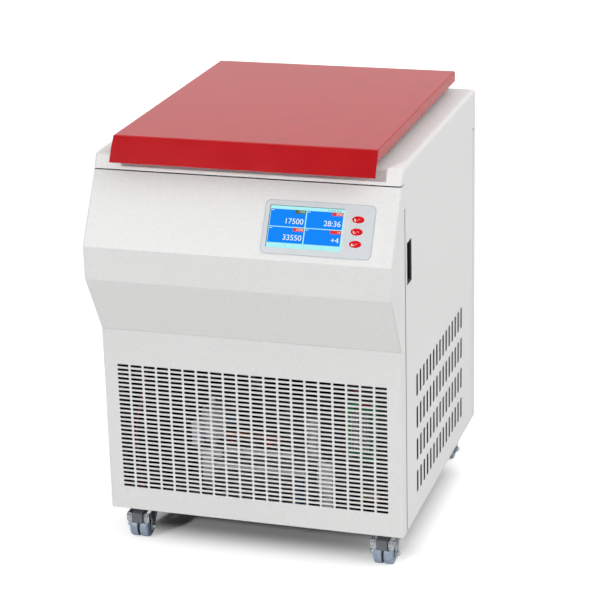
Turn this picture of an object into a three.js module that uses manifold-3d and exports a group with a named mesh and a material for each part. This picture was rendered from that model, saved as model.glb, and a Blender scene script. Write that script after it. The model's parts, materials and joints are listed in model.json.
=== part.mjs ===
// Refrigerated floor-standing centrifuge.
// Millimetres, +Z up, the front faces -Y, and the origin is on the floor under the middle of the machine.
import * as THREE from 'three';
import { mergeVertices } from 'three/addons/utils/BufferGeometryUtils.js';
import Module from 'manifold-3d';

const wasm = await Module();
wasm.setup();

// Cabinet, with depths from the lower front panel and heights from the underside
const cabinetWidth = 660;
const cabinetDepth = 700;
const groundClearance = 84;
const lowerPanelHeight = 418;
const chamferHeight = 136;
const consoleOverhang = 75;
const bandHeight = 71;
const slantHeight = 142;
const consoleSetback = 10;
const coverHeight = 34;
const coverSetback = 15;
const skirtHeight = 52;
const sheet = 1.5;
const fitGap = 0.3;
const seamGap = 1.2;
const grooveWidth = 3;
const edgeRadius = 7;
const cornerSteps = 2;
const shaftSides = 16;
const pinSides = 8;
const drumSides = 12;
const frontReturn = 32;
const rearReturn = 28;
const rearInset = 2;
const cutOverrun = 5;

// Chassis
const tube = 25;
const basePlate = 3;
const deckPlate = 3;
const railDrop = 34.5;
const deckBoreRadius = 66;

// Front grille, side slots and rear vents
const grilleColumns = 20;
const grilleRows = 15;
const grilleMargin = 30;
const grilleBridge = 5;
const grillePitchZ = 20;
const grilleSlotHeight = 5;
const grilleCentreZ = 196;
const sideSlotColumns = 15;
const sideSlotRows = 4;
const sideSlotPitchY = 30;
const sideSlotPitchZ = 74;
const sideSlotLength = 49;
const sideSlotWidth = 10;
const sideSlotForward = 12;
const sideSlotCentreZ = 188;
const ventColumns = 12;
const ventRows = 1;
const ventPitchX = 24;
const ventPitchZ = 90;
const ventLength = 150;
const ventWidth = 10;
const ventCentreX = -60;
const ventCentreZ = 200;

// Console, with insets from the bezel's edges
const bezelHeight = 113;
const bezelSideInset = 45;
const bezelFootInset = 12.5;
const bezelRadius = 11;
const bezelThickness = 1.2;
const screenWidth = 155;
const screenHeight = 87;
const screenSideInset = 13;
const screenTopInset = 12;
const screenRecess = 1.5;
const moduleBorder = 5;
const moduleDepth = 10;
const keySideInset = 34;
const keyScreenGap = 17;
const keyLength = 26;
const keyHeight = 14.5;
const keyTopInset = 31;
const keyPitch = 25.2;
const keyProud = 2.2;
const keyTravel = 1.5;
const keySides = 16;
const keyCrownShare = 0.72;
const boardThickness = 1.6;
const boardMargin = 6;

// Mains switch in the right-hand side panel
const switchY = 68;
const switchWidth = 26;
const switchRise = 7;
const switchHeight = 83;
const switchFlange = 6;
const switchDepth = 32;
const switchRecess = 14;
const rockerLength = 46;
const rockerTilt = 8;
const rockerThickness = 9;
const rockerPinRadius = 2;

// Mains inlet in the rear panel
const inletSideInset = 110;
const inletZ = 90;
const inletWidth = 30;
const inletHeight = 22;
const inletWall = 2.5;
const inletDepth = 24;
const inletFlange = 8;
const pinLength = 12;
const pinWidth = 2;
const pinHeight = 6;
const pinPitch = 7;

// Lid
const lidSideInset = 47;
const lidRise = 41;
const lidFront = 12;
const lidRearInset = 5;
const lidSkirt = 23;
const lidSheet = 2;
const lidBend = 5;
const flangeDrop = 50;
const flangeReach = 28;
const linerSideInset = 28;
const linerFront = 60;
const linerRearInset = 60;
const linerRise = 6;
const linerRadius = 24;
const sealWidth = 9;
const strikerSideInset = 133;
const strikerY = 78;
const strikerThickness = 5;
const strikerWidth = 20;
const strikerDrop = 39;
const strikerEye = 18;
const strikerEyeWidth = 12;
const strikerEyeRise = 5;
const strikerSlotMargin = 4;

// Lid hinge
const hingeRearInset = 12;
const hingeRise = 11;
const hingeShaftRadius = 5;
const hingeShaftOverhang = 4.5;
const hingeArmSideInset = 83;
const hingeArmWidth = 35;
const hingeArmReach = 38;
const knuckleRadius = 8;
const cheekThickness = 3;
const cheekGap = 1;
const cheekRadius = 7.5;
const carrierPlate = 3;
const carrierReach = 33;
const cheekSlotMargin = 1;
const springTurns = 4;
const springPitch = 6;
const springWireRadius = 1;
const springTurnSteps = 8;
const springSides = 4;

// Lid lock
const lockShaftRadius = 5;
const lockShaftY = 60;
const lockShaftDrop = 21;
const lockShaftOverhang = 25;
const lockHookWidth = 8;
const lockHubRadius = 8;
const lockNoseHeight = 6;
const lockNoseGap = 3.5;
const lockArmWidth = 8;
const lockEarOffset = 18;
const lockEarThickness = 4;
const lockPlateDrop = 14;
const lockPlateDepth = 44;
const lockMotorWidth = 90;
const lockMotorHeight = 38;
const lockMotorMargin = 6;

// Rotor chamber
const chamberWidthShare = 20 / 66;
const chamberDepthShare = 2 / 7;
const chamberClearance = 2.1;
const chamberDepth = 207;
const chamberCorner = 10;
const chamberSides = 24;
const chamberFlange = 16;
const coverBoreMargin = 3;
const coilRadius = 5;
const coilTurns = 4;
const coilPitch = 43;
const coilRise = 22;
const coilTurnSteps = 16;
const coilSides = 5;
const armourThickness = 8;
const armourRise = 3.8;
const insulationWall = 30;
const insulationFloor = 43.3;
const neckRadius = 40;
const neckCollar = 6;
const neckCollarHeight = 15;

// Drive
const motorRadius = 80;
const motorHeight = 210;
const motorFlangeRadius = 120;
const motorFlange = 8;
const motorShoulderRadius = 55;
const neckRise = 13.8;
const damperRadius = 15;
const damperWaist = 11;
const damperHeight = 16;
const damperCircle = 102;
const damperCount = 3;
const spindleRadius = 10;
const spindleSeat = 15;
const spindleCollarRadius = 22;
const spindleCollar = 4;
const spindleClear = 14;

// Fixed-angle rotor with slanted tube pockets
const rotorRadius = 108;
const rotorHeight = 100;
const rotorTopRadius = 76;
const rotorRim = 22;
const rotorFootRadius = 66;
const rotorFoot = 12;
const rotorHubRadius = 28;
const rotorRecess = 10;
const rotorSides = 30;
const pocketCount = 6;
const pocketRadius = 14.75;
const pocketAngle = 28;
const pocketReach = 98;
const pocketFloor = 26;
const pocketSides = 10;
const nutRadius = 18;
const nutHeight = 30;
const nutCap = 13;
const nutFlutes = 6;
const nutFluteRadius = 4;

// Refrigeration
const compressorSideInset = 158.2;
const compressorForward = 15;
const compressorRadius = 88;
const compressorHeight = 200;
const compressorFoot = 6;
const compressorFootMargin = 12;
const compressorSides = 18;
const condenserSideInset = 198.2;
const condenserBoxGap = 40;
const condenserFront = 44;
const condenserDepth = 56;
const condenserHeight = 140;
const condenserWeb = 8;
const condenserFins = 12;
const finShare = 0.4;
const shroudDepth = 34;
const shroudWall = 2;
const fanRadius = 58;
const fanTip = 3;
const fanHubRadius = 17;
const fanHubDepth = 14;
const fanPinRadius = 4;
const fanBlades = 5;
const fanBladeThickness = 1.6;
const fanBladeChord = 20;
const fanBladePitch = 32;
const fanArm = 7;
const fanThroatSides = 24;
const drierSideInset = 21;
const drierRadius = 26;
const drierHeight = 84;
const drierStubRadius = 5;
const drierStub = 14;
const drierNeckShare = 0.4;
const pipeRadius = 6;
const pipeSides = 6;
const pipeSteps = 16;
const pipeStubRise = 40;

// Electrics behind the grille
const driveBoxSideInset = 28.2;
const driveBoxWidth = 110;
const driveBoxFront = 84;
const driveBoxDepth = 150;
const driveBoxHeight = 300;
const inverterWidth = 62;
const inverterHeight = 118;
const inverterBottom = 160;
const inverterSideInset = 10;
const heatSinkWidth = 34;
const heatSinkHeight = 60;
const heatSinkDepth = 16;
const heatSinkSlots = 4;

// Twin-wheel castors
const castorSideInset = 52;
const castorSetback = 65;
const castorTrail = 20;
const castorPlate = 3;
const castorPlateSize = 62;
const wheelRadius = 25;
const wheelWidth = 20;
const wheelGap = 4.5;
const wheelHubRadius = 8;
const wheelSides = 16;
const wheelEdge = 2;
const axleRadius = 4;
const axleHeadRadius = 6.5;
const axleHead = 5;
const forkSheet = 2.5;
const forkSideGap = 1.5;
const forkHeadRadius = 22;
const forkHead = 9;
const forkBridge = 6;
const forkBridgeReach = 20;
const forkEyeRadius = 10;
const forkEyeSteps = 4;
const brakeWidth = 25;
const brakePinRadius = 2.5;
const brakePinY = -4;
const brakePinZ = 60;
const brakeHubRadius = 5.5;
const brakeReach = 36;
const brakeBlock = 12;
const brakeTop = 70;
const brakeFoot = 52;

// Places worked out from the driving dimensions
const halfWidth = cabinetWidth / 2;
const chamferTop = lowerPanelHeight + chamferHeight;
const bandTop = chamferTop + bandHeight;
const seamZ = bandTop + slantHeight;
const coverTop = seamZ + coverHeight;
const coverUnderside = coverTop - sheet;
const skirtBottom = seamZ - skirtHeight;
const rearFace = cabinetDepth - rearInset;
const innerHalfWidth = halfWidth - sheet - fitGap;
const innerRear = rearFace - sheet - fitGap;
const postInner = innerHalfWidth - tube;
const postFront = consoleSetback + edgeRadius + fitGap;
const postBack = postFront + tube;
const rearPostBack = rearFace - edgeRadius - fitGap;
const rearPostFront = rearPostBack - tube;
const originDepth = (cabinetDepth - consoleOverhang) / 2;
const slantRun = consoleOverhang + consoleSetback;
const slantAngle = Math.atan2(slantHeight, slantRun);
const degree = Math.PI / 180;
const railTop = coverUnderside - railDrop;
const grillePitchX = (cabinetWidth - 2 * grilleMargin) / grilleColumns;
const grilleSlotLength = grillePitchX - grilleBridge;
const sideSlotCentreY = cabinetDepth / 2 - sideSlotForward;
const castorX = halfWidth - castorSideInset;
const inletX = halfWidth - inletSideInset;

const bezelWidth = screenSideInset + screenWidth + keyScreenGap + keyLength / 2 + keySideInset;
const bezelRight = halfWidth - bezelSideInset;
const bezelCentreX = bezelRight - bezelWidth / 2;
const bezelTop = Math.hypot(slantHeight, slantRun) - bezelFootInset - bezelHeight;
const screenCentreX = bezelRight - bezelWidth + screenSideInset + screenWidth / 2;
const screenTop = bezelTop + screenTopInset;
const keyCentreX = bezelRight - keySideInset;
const keyFirst = bezelTop + keyTopInset;

const lidWidth = cabinetWidth - 2 * lidSideInset;
const lidTop = coverTop + lidRise;
const lidRear = cabinetDepth - lidRearInset;
const linerWidth = lidWidth - 2 * linerSideInset;
const linerRear = cabinetDepth - linerRearInset;
const linerBottom = coverTop + linerRise;
const strikerX = lidWidth / 2 - strikerSideInset;
const strikerBottom = coverTop - strikerDrop;
const hingeY = cabinetDepth - hingeRearInset;
const hingeZ = coverTop + hingeRise;
const hingeArmX = lidWidth / 2 - hingeArmSideInset;
const hingeShaftHalf = hingeArmX + hingeArmWidth / 2 + cheekGap + cheekThickness + hingeShaftOverhang;
const carrierFront = hingeY - carrierReach;
const lockShaftZ = railTop - lockShaftDrop;
const lockShaftHalf = strikerX + lockShaftOverhang;
const lockNoseZ = strikerBottom + strikerEyeRise + strikerEye / 2;
const lockEarX = strikerX + lockEarOffset;
const lockPlateFront = postBack + fitGap;
const lockPlateBack = lockPlateFront + lockPlateDepth;

const chamberRadius = Math.min(cabinetWidth * chamberWidthShare, cabinetDepth * chamberDepthShare);
const chamberFloor = coverUnderside - fitGap - chamberDepth;
const coilMeanRadius = (chamberRadius + sheet + fitGap + coilRadius) / Math.cos(Math.PI / coilTurnSteps);
const armourInner = (coilMeanRadius + coilRadius + fitGap) / Math.cos(Math.PI / chamberSides);
const insulationBore = armourInner + armourThickness + fitGap;
const insulationHalf = insulationBore + insulationWall;
const chamberY = lockPlateBack + chamberClearance + insulationHalf;
const deckHeight = chamberFloor - fitGap - insulationFloor - fitGap - fitGap - deckPlate;
const neckTop = chamberFloor + neckRise;
const spindleBottom = deckHeight + spindleSeat;
const motorFlangeTop = deckHeight + fitGap - damperHeight - fitGap - fitGap;
const rotorBottom = neckTop + spindleClear + spindleCollar + fitGap;
const switchBottom = deckHeight + switchRise;

const driveBoxLeft = innerHalfWidth - driveBoxSideInset - driveBoxWidth;
const inverterX = driveBoxLeft + inverterSideInset + inverterWidth / 2;
const condenserLeft = condenserSideInset - innerHalfWidth;
const condenserRight = driveBoxLeft - condenserBoxGap;
const condenserWidth = condenserRight - condenserLeft;
const condenserX = condenserLeft + condenserWidth / 2;
const drierX = condenserLeft + drierSideInset;
const compressorX = compressorSideInset - innerHalfWidth;
const compressorY = chamberY - compressorForward;

// Closed shapes
function solidOf(geometry) {
  const bare = geometry.clone();
  bare.deleteAttribute('normal');
  bare.deleteAttribute('uv');
  const merged = mergeVertices(bare);
  return new wasm.Manifold(new wasm.Mesh({
    numProp: 3,
    vertProperties: merged.attributes.position.array,
    triVerts: Uint32Array.from(merged.index.array),
  }));
}

function geometryOf(solid) {
  const { numProp, vertProperties, triVerts } = solid.getMesh();
  const geometry = new THREE.BufferGeometry();
  geometry.setAttribute('position', new THREE.BufferAttribute(vertProperties, numProp));
  geometry.setIndex(new THREE.BufferAttribute(triVerts, 1));
  geometry.computeVertexNormals();
  return geometry;
}

function join(...geometries) {
  return geometryOf(geometries.map(solidOf).reduce((whole, solid) => whole.add(solid)));
}

function cut(base, ...tools) {
  return geometryOf(tools.map(solidOf).reduce((whole, tool) => whole.subtract(tool), solidOf(base)));
}

// Outlines, each a list of [u, v] points
function arc(u, v, radius, fromAngle, toAngle, steps) {
  return Array.from({ length: steps + 1 }, (_, step) => {
    const angle = (fromAngle + ((toAngle - fromAngle) * step) / steps) * degree;
    return [u + radius * Math.cos(angle), v + radius * Math.sin(angle)];
  });
}

function ellipse(u, v, radiusU, radiusV, sides) {
  return arc(0, 0, 1, 0, 360, sides)
    .slice(0, -1)
    .map(([cos, sin]) => [u + radiusU * cos, v + radiusV * sin]);
}

function rectangle(u0, u1, v0, v1) {
  return [[u0, v0], [u1, v0], [u1, v1], [u0, v1]];
}

function roundedRectangle(u0, u1, v0, v1, radius, farRadius = radius) {
  return [
    ...arc(u0 + radius, v0 + radius, radius, 180, 270, cornerSteps),
    ...arc(u1 - radius, v0 + radius, radius, 270, 360, cornerSteps),
    ...arc(u1 - farRadius, v1 - farRadius, farRadius, 0, 90, cornerSteps),
    ...arc(u0 + farRadius, v1 - farRadius, farRadius, 90, 180, cornerSteps),
  ];
}

// A rectangle given by its middle
function slot(u, v, width, height) {
  return rectangle(u - width / 2, u + width / 2, v - height / 2, v + height / 2);
}

function grid(columns, rows, pitchU, pitchV, centreU, centreV, outlineAt) {
  return Array.from({ length: columns * rows }, (_, index) => {
    const column = index % columns;
    const row = Math.floor(index / columns);
    const u = centreU + (column - (columns - 1) / 2) * pitchU;
    const v = centreV + (row - (rows - 1) / 2) * pitchV;
    return outlineAt(u, v);
  });
}

// A sheet's outline from the path of its outer face, with each bend rounded
function bentSheet(path, thickness, radius) {
  const outer = path.flatMap((point, index) => {
    if (index === 0 || index === path.length - 1) return [new THREE.Vector2(...point)];
    const corner = new THREE.Vector2(...point);
    const before = new THREE.Vector2(...path[index - 1]).sub(corner).setLength(radius).add(corner);
    const after = new THREE.Vector2(...path[index + 1]).sub(corner).setLength(radius).add(corner);
    return new THREE.QuadraticBezierCurve(before, corner, after).getPoints(cornerSteps);
  });
  const inner = outer.map((point, index) => {
    const into = point.clone().sub(outer[Math.max(index - 1, 0)]);
    const onward = outer[Math.min(index + 1, outer.length - 1)].clone().sub(point);
    const first = (index === 0 ? onward : into).clone().normalize();
    const second = (index === outer.length - 1 ? into : onward).clone().normalize();
    const mitre = 1 + first.dot(second);
    const shift = new THREE.Vector2(-first.y - second.y, first.x + second.x);
    return point.clone().addScaledVector(shift, thickness / mitre);
  });
  return [...outer, ...inner.reverse()].map(({ x, y }) => [x, y]);
}

// Prisms along each axis, from one outline or a list of separate ones
function extruded(outlines, depth) {
  const list = Array.isArray(outlines[0][0]) ? outlines : [outlines];
  const shapes = list.map((points) => new THREE.Shape(points.map(([u, v]) => new THREE.Vector2(u, v))));
  return new THREE.ExtrudeGeometry(shapes, { depth, bevelEnabled: false, steps: 1 });
}

function prismZ(outlines, from, to) {
  return extruded(outlines, to - from).translate(0, 0, from);
}

function prismX(outlines, from, to) {
  return extruded(outlines, to - from)
    .applyMatrix4(new THREE.Matrix4().set(0, 0, 1, 0, 1, 0, 0, 0, 0, 1, 0, 0, 0, 0, 0, 1))
    .translate(from, 0, 0);
}

function prismY(outlines, from, to) {
  return extruded(outlines, to - from).rotateX(Math.PI / 2).translate(0, to, 0);
}

function block(x0, x1, y0, y1, z0, z1) {
  return prismZ(rectangle(x0, x1, y0, y1), z0, z1);
}

// Revolved bodies from [radius, height] profiles
function turned(profile, sides) {
  const points = [...profile, profile[0]].map(([radius, height]) => new THREE.Vector2(radius, height));
  return new THREE.LatheGeometry(points, sides).rotateX(Math.PI / 2);
}

function rodZ(radius, from, to, sides = shaftSides) {
  return turned([[0, from], [radius, from], [radius, to], [0, to]], sides);
}

function rodX(radius, from, to, y, z, sides = shaftSides) {
  return rodZ(radius, from, to, sides).rotateY(Math.PI / 2).translate(0, y, z);
}

function rodY(radius, from, to, x, z, sides = drumSides) {
  return rodZ(radius, from, to, sides).rotateX(-Math.PI / 2).translate(x, 0, z);
}

// A body through level outlines of equal point count, listed from the bottom up
function lofted(levels) {
  const count = levels[0].outline.length;
  const positions = levels.flatMap(({ outline, z }) => outline.flatMap(([x, y]) => [x, y, z]));
  const base = levels[0].outline.map((point) => new THREE.Vector2(...point));
  const cap = THREE.ShapeUtils.triangulateShape(base, []);
  const last = (levels.length - 1) * count;
  const faces = cap.flatMap(([a, b, c]) => [[a, c, b], [last + a, last + b, last + c]]);
  for (let level = 0; level < levels.length - 1; level += 1) {
    for (let side = 0; side < count; side += 1) {
      const a = level * count + side;
      const b = level * count + ((side + 1) % count);
      faces.push([a, b, b + count], [a, b + count, a + count]);
    }
  }
  const geometry = new THREE.BufferGeometry();
  geometry.setAttribute('position', new THREE.Float32BufferAttribute(positions, 3));
  geometry.setIndex(faces.flat());
  return geometry;
}

// A round wire or tube along a curve
function wire(curve, radius, sides, steps) {
  const section = ellipse(0, 0, radius, radius, sides).map((point) => new THREE.Vector2(...point));
  const settings = { steps, extrudePath: curve, bevelEnabled: false };
  return new THREE.ExtrudeGeometry(new THREE.Shape(section), settings);
}

class Helix extends THREE.Curve {
  constructor(radius, pitch, turns) {
    super();
    Object.assign(this, { radius, pitch, turns });
  }

  getPoint(share, target = new THREE.Vector3()) {
    const angle = share * this.turns * Math.PI * 2;
    const rise = share * this.turns * this.pitch;
    return target.set(this.radius * Math.cos(angle), this.radius * Math.sin(angle), rise);
  }
}

// Finishes
function finish(color, roughness, metalness = 0) {
  return () => new THREE.MeshStandardMaterial({ color, roughness, metalness });
}

const whiteEnamel = finish('#e9e9e8', 0.55);
const redEnamel = finish('#b4161e', 0.25);
const zincSteel = finish('#b9bcbf', 0.4, 0.9);
const stainless = finish('#c3c6c8', 0.25, 1);
const aluminium = finish('#c9cbcd', 0.35, 1);
const darkSteel = finish('#3a3c3f', 0.5, 0.6);
const copper = finish('#b87346', 0.35, 1);
const blackPlastic = finish('#16171a', 0.5);
const greyPlastic = finish('#6d7178', 0.6);
const wheelPlastic = finish('#a9b6c8', 0.45);
const overlayFilm = finish('#d5dade', 0.5);
const redPlastic = finish('#e3000f', 0.2);
const displayGlass = finish('#0a84ff', 0.15);
const boardGreen = finish('#2f7d4f', 0.5);
const foam = finish('#e2ddc8', 0.9);
const rubber = finish('#26282a', 0.85);
const whitePlastic = finish('#dfe3e8', 0.5);

function add(group, name, geometry, material) {
  const mesh = new THREE.Mesh(geometry, material());
  mesh.name = name;
  group.add(mesh);
  return mesh;
}

// A folded front sheet: flat face, rounded corners and a return along each side
function panSection(front, back) {
  const inside = edgeRadius - sheet;
  const left = -halfWidth;
  return [
    [left, back],
    ...arc(left + edgeRadius, front + edgeRadius, edgeRadius, 180, 270, cornerSteps),
    ...arc(halfWidth - edgeRadius, front + edgeRadius, edgeRadius, 270, 360, cornerSteps),
    [halfWidth, back],
    [halfWidth - sheet, back],
    ...arc(halfWidth - edgeRadius, front + edgeRadius, inside, 360, 270, cornerSteps),
    ...arc(left + edgeRadius, front + edgeRadius, inside, 270, 180, cornerSteps),
    [left + sheet, back],
  ];
}

// Welded chassis: floor plate, four posts, rails for the deck and the cover, and the castor plates
function chassis() {
  const posts = [-1, 1].flatMap((side) => {
    const near = Math.min(side * postInner, side * innerHalfWidth);
    const far = Math.max(side * postInner, side * innerHalfWidth);
    return [
      block(near, far, postFront, postBack, 0, railTop),
      block(near, far, rearPostFront, rearPostBack, 0, railTop),
      block(near, far, postFront, rearPostBack, railTop - tube, railTop),
      block(near, far, postFront, rearPostBack, deckHeight - tube, deckHeight),
    ];
  });
  const plateHalf = castorPlateSize / 2;
  const castorPlates = castorPlaces().map(({ x, y }) => (
    block(x - plateHalf, x + plateHalf, y - plateHalf, y + plateHalf, -castorPlate, basePlate)
  ));
  const floorCorner = edgeRadius - sheet - fitGap;
  const floor = roundedRectangle(-innerHalfWidth, innerHalfWidth, sheet + fitGap, innerRear, floorCorner);
  return join(
    prismZ(floor, 0, basePlate),
    block(-innerHalfWidth, innerHalfWidth, postFront, postBack, railTop - tube, railTop),
    block(-innerHalfWidth, innerHalfWidth, rearPostFront, rearPostBack, railTop - tube, railTop),
    ...posts,
    ...castorPlates,
  );
}

// Deck across the middle rails, with the bore for the motor neck
function chamberDeck() {
  const bottom = deckHeight + fitGap;
  const front = postBack + fitGap;
  const back = rearPostFront - fitGap;
  const plate = block(-innerHalfWidth, innerHalfWidth, front, back, bottom, bottom + deckPlate);
  const bore = rodZ(deckBoreRadius, bottom - cutOverrun, bottom + deckPlate + cutOverrun, chamberSides);
  return cut(plate, bore.translate(0, chamberY, 0));
}

// Lower front panel, punched as a grille of flat slots
function grillePanel() {
  const outline = panSection(0, frontReturn);
  const pan = lofted([{ outline, z: 0 }, { outline, z: lowerPanelHeight }]);
  const slotAt = (x, z) => slot(x, z, grilleSlotLength, grilleSlotHeight);
  const slots = grid(grilleColumns, grilleRows, grillePitchX, grillePitchZ, 0, grilleCentreZ, slotAt);
  return cut(pan, prismY(slots, -cutOverrun, sheet + cutOverrun));
}

// Console sheet: chamfer, upright band and slanted face folded in one piece with its cheeks
function frontFascia(toConsole) {
  const levels = [
    { outline: panSection(0, frontReturn), z: lowerPanelHeight + seamGap },
    { outline: panSection(-consoleOverhang, frontReturn), z: chamferTop },
    { outline: panSection(-consoleOverhang, frontReturn), z: bandTop },
    { outline: panSection(consoleSetback, frontReturn), z: seamZ },
  ];
  const centre = -screenTop - screenHeight / 2;
  const halfWindow = screenWidth / 2 + fitGap;
  const halfTall = screenHeight / 2 + fitGap;
  const window = rectangle(
    screenCentreX - halfWindow,
    screenCentreX + halfWindow,
    centre - halfTall,
    centre + halfTall,
  );
  const holes = keyPlaces().map((place) => keyOutline(place, fitGap));
  const openings = prismZ([window, ...holes], -cutOverrun, cutOverrun).applyMatrix4(toConsole);
  return cut(lofted(levels), openings);
}

// Top cover: a shell with rolled upper edges, a low skirt round the sides and the chamber opening
function topCover() {
  const bottom = seamZ + seamGap;
  const shoulder = coverTop - edgeRadius;
  const frontAt = (z) => consoleSetback + (coverSetback * (z - seamZ)) / coverHeight;
  const ring = (inset, z, y) => ({
    outline: roundedRectangle(
      -halfWidth + inset,
      halfWidth - inset,
      y + inset,
      cabinetDepth - inset,
      edgeRadius,
    ),
    z,
  });
  const shell = (inset, low, rollSteps) => {
    const radius = edgeRadius - inset;
    const rolled = arc(0, 0, radius, 0, 90, rollSteps).map(([cos, sin]) => (
      ring(inset + (radius - cos), shoulder + sin, frontAt(shoulder + sin))
    ));
    return lofted([ring(inset, low, frontAt(low)), ...rolled]);
  };
  const skirtFront = frontReturn + fitGap;
  const skirt = (inset, front, low) => prismZ(
    rectangle(-halfWidth + inset, halfWidth - inset, front, cabinetDepth - inset),
    low,
    bottom + sheet,
  );
  const outer = join(shell(0, bottom, cornerSteps + 1), skirt(0, skirtFront, skirtBottom));
  const hollow = join(
    shell(sheet, bottom - cutOverrun, 1),
    skirt(sheet, skirtFront - cutOverrun, skirtBottom - cutOverrun),
  );
  const slotFloor = coverUnderside - cutOverrun;
  const slotTop = coverTop + cutOverrun;
  const mouth = rodZ(chamberRadius + coverBoreMargin, slotFloor, slotTop, chamberSides);
  mouth.translate(0, chamberY, 0);
  const halfStriker = strikerWidth / 2 + strikerSlotMargin;
  const halfStrikerY = strikerThickness / 2 + strikerSlotMargin;
  const strikerSlots = [-strikerX, strikerX].map((x) => (
    rectangle(x - halfStriker, x + halfStriker, strikerY - halfStrikerY, strikerY + halfStrikerY)
  ));
  const cheekSlots = cheekPlaces().map((x) => rectangle(
    x - cheekThickness / 2 - cheekSlotMargin,
    x + cheekThickness / 2 + cheekSlotMargin,
    hingeY - cheekRadius - cheekSlotMargin,
    hingeY + cheekRadius + cheekSlotMargin,
  ));
  const slots = prismZ([...strikerSlots, ...cheekSlots], slotFloor, slotTop);
  return cut(outer, hollow, mouth, slots);
}

// Side panel with its field of upright slots; the right-hand one also has the switch opening
function sidePanel(side) {
  const outer = side * halfWidth;
  const inner = side * (halfWidth - sheet);
  const from = Math.min(outer, inner);
  const to = Math.max(outer, inner);
  const outline = roundedRectangle(
    frontReturn + grooveWidth,
    rearFace - rearReturn - grooveWidth,
    fitGap,
    skirtBottom - grooveWidth,
    edgeRadius,
  );
  const slotAt = (y, z) => slot(y, z, sideSlotWidth, sideSlotLength);
  const slots = grid(
    sideSlotColumns,
    sideSlotRows,
    sideSlotPitchY,
    sideSlotPitchZ,
    sideSlotCentreY,
    sideSlotCentreZ,
    slotAt,
  );
  const openings = side > 0 ? [...slots, switchOutline(0)] : slots;
  return cut(prismX(outline, from, to), prismX(openings, from - cutOverrun, to + cutOverrun));
}

// Rear panel with exhaust vents and the cut-out for the mains inlet
function rearPanel() {
  const front = rearFace - rearReturn;
  const outline = panSection(-rearFace, -front).map(([x, y]) => [-x, -y]);
  const pan = lofted([{ outline, z: 0 }, { outline, z: skirtBottom - grooveWidth }]);
  const ventAt = (x, z) => slot(x, z, ventWidth, ventLength);
  const vents = grid(ventColumns, ventRows, ventPitchX, ventPitchZ, ventCentreX, ventCentreZ, ventAt);
  const inlet = inletOutline(fitGap);
  return cut(pan, prismY([...vents, inlet], rearFace - sheet - cutOverrun, rearFace + cutOverrun));
}

// Mains inlet: flanged moulding with three blades in an open socket
function inletOutline(margin) {
  const halfU = inletWidth / 2 + margin;
  const halfV = inletHeight / 2 + margin;
  return rectangle(inletX - halfU, inletX + halfU, inletZ - halfV, inletZ + halfV);
}

function mainsInlet() {
  const face = rearFace + fitGap;
  const body = join(
    prismY(inletOutline(0), face - inletDepth, face + sheet - fitGap),
    prismY(inletOutline(inletFlange), face, face + sheet - fitGap),
  );
  const socketFloor = face - inletDepth + inletWall;
  const socket = prismY(inletOutline(-inletWall), socketFloor, face + cutOverrun);
  const blades = [-1, 0, 1].map((step) => {
    const x = inletX + step * pinPitch;
    return prismY(slot(x, inletZ, pinWidth, pinHeight), socketFloor - inletWall / 2, socketFloor + pinLength);
  });
  return join(cut(body, socket), ...blades);
}

// Control panel, drawn in the plane of the slant with its origin at the middle of the top seam
function keyPlaces() {
  return [0, 1, 2].map((index) => -keyFirst - index * keyPitch);
}

function keyOutline(centre, margin) {
  return ellipse(keyCentreX, centre, keyLength / 2 + margin, keyHeight / 2 + margin, keySides);
}

function controlBezel() {
  const plate = prismZ(
    roundedRectangle(
      bezelCentreX - bezelWidth / 2,
      bezelCentreX + bezelWidth / 2,
      -bezelTop - bezelHeight,
      -bezelTop,
      bezelRadius,
    ),
    fitGap,
    fitGap + bezelThickness,
  );
  const window = rectangle(
    screenCentreX - screenWidth / 2,
    screenCentreX + screenWidth / 2,
    -screenTop - screenHeight,
    -screenTop,
  );
  const holes = keyPlaces().map((place) => keyOutline(place, fitGap));
  return cut(plate, prismZ([window, ...holes], -cutOverrun, bezelThickness + cutOverrun));
}

function displayScreen() {
  const left = screenCentreX - screenWidth / 2;
  const right = screenCentreX + screenWidth / 2;
  const bottom = -screenTop - screenHeight;
  const seat = -sheet - fitGap;
  return join(
    block(left, right, bottom, -screenTop, seat - moduleDepth, -screenRecess / 2 - fitGap),
    block(
      left - moduleBorder,
      right + moduleBorder,
      bottom - moduleBorder,
      -screenTop + moduleBorder,
      seat - moduleDepth,
      seat,
    ),
  );
}

function controlKey(centre) {
  const top = fitGap + bezelThickness + keyProud;
  const levels = [
    { margin: 1, z: -sheet - moduleDepth + keyTravel },
    { margin: 1, z: top - keyProud / 2 },
    { margin: keyCrownShare, z: top },
  ];
  return lofted(levels.map(({ margin, z }) => ({
    outline: ellipse(keyCentreX, centre, (keyLength / 2) * margin, (keyHeight / 2) * margin, keySides),
    z,
  })));
}

function controlBoard() {
  const top = -sheet - moduleDepth - fitGap - fitGap;
  return block(
    screenCentreX - screenWidth / 2 - moduleBorder,
    keyCentreX + keyLength / 2 + boardMargin,
    -screenTop - screenHeight - boardMargin,
    -screenTop + boardMargin,
    top - boardThickness,
    top,
  );
}

// Mains switch: a deep black well behind the side panel with a rocker on its cross pin
function switchOutline(margin) {
  const halfU = switchWidth / 2 + margin;
  return rectangle(
    switchY - halfU,
    switchY + halfU,
    switchBottom - margin,
    switchBottom + switchHeight + margin,
  );
}

function switchPlace() {
  return {
    x: halfWidth - sheet - fitGap - switchRecess,
    z: switchBottom + switchHeight / 2,
  };
}

function switchHousing() {
  const outer = halfWidth - sheet - fitGap;
  const foot = outer - switchDepth;
  const { x, z } = switchPlace();
  const body = join(
    prismX(switchOutline(0), foot, outer),
    prismX(switchOutline(switchFlange / 2), outer - sheet, outer),
  );
  const well = prismX(switchOutline(-sheet), x - rockerThickness, outer + cutOverrun);
  const pin = rodY(rockerPinRadius, switchY - switchWidth / 2, switchY + switchWidth / 2, x, z);
  return join(cut(body, well), pin);
}

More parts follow.
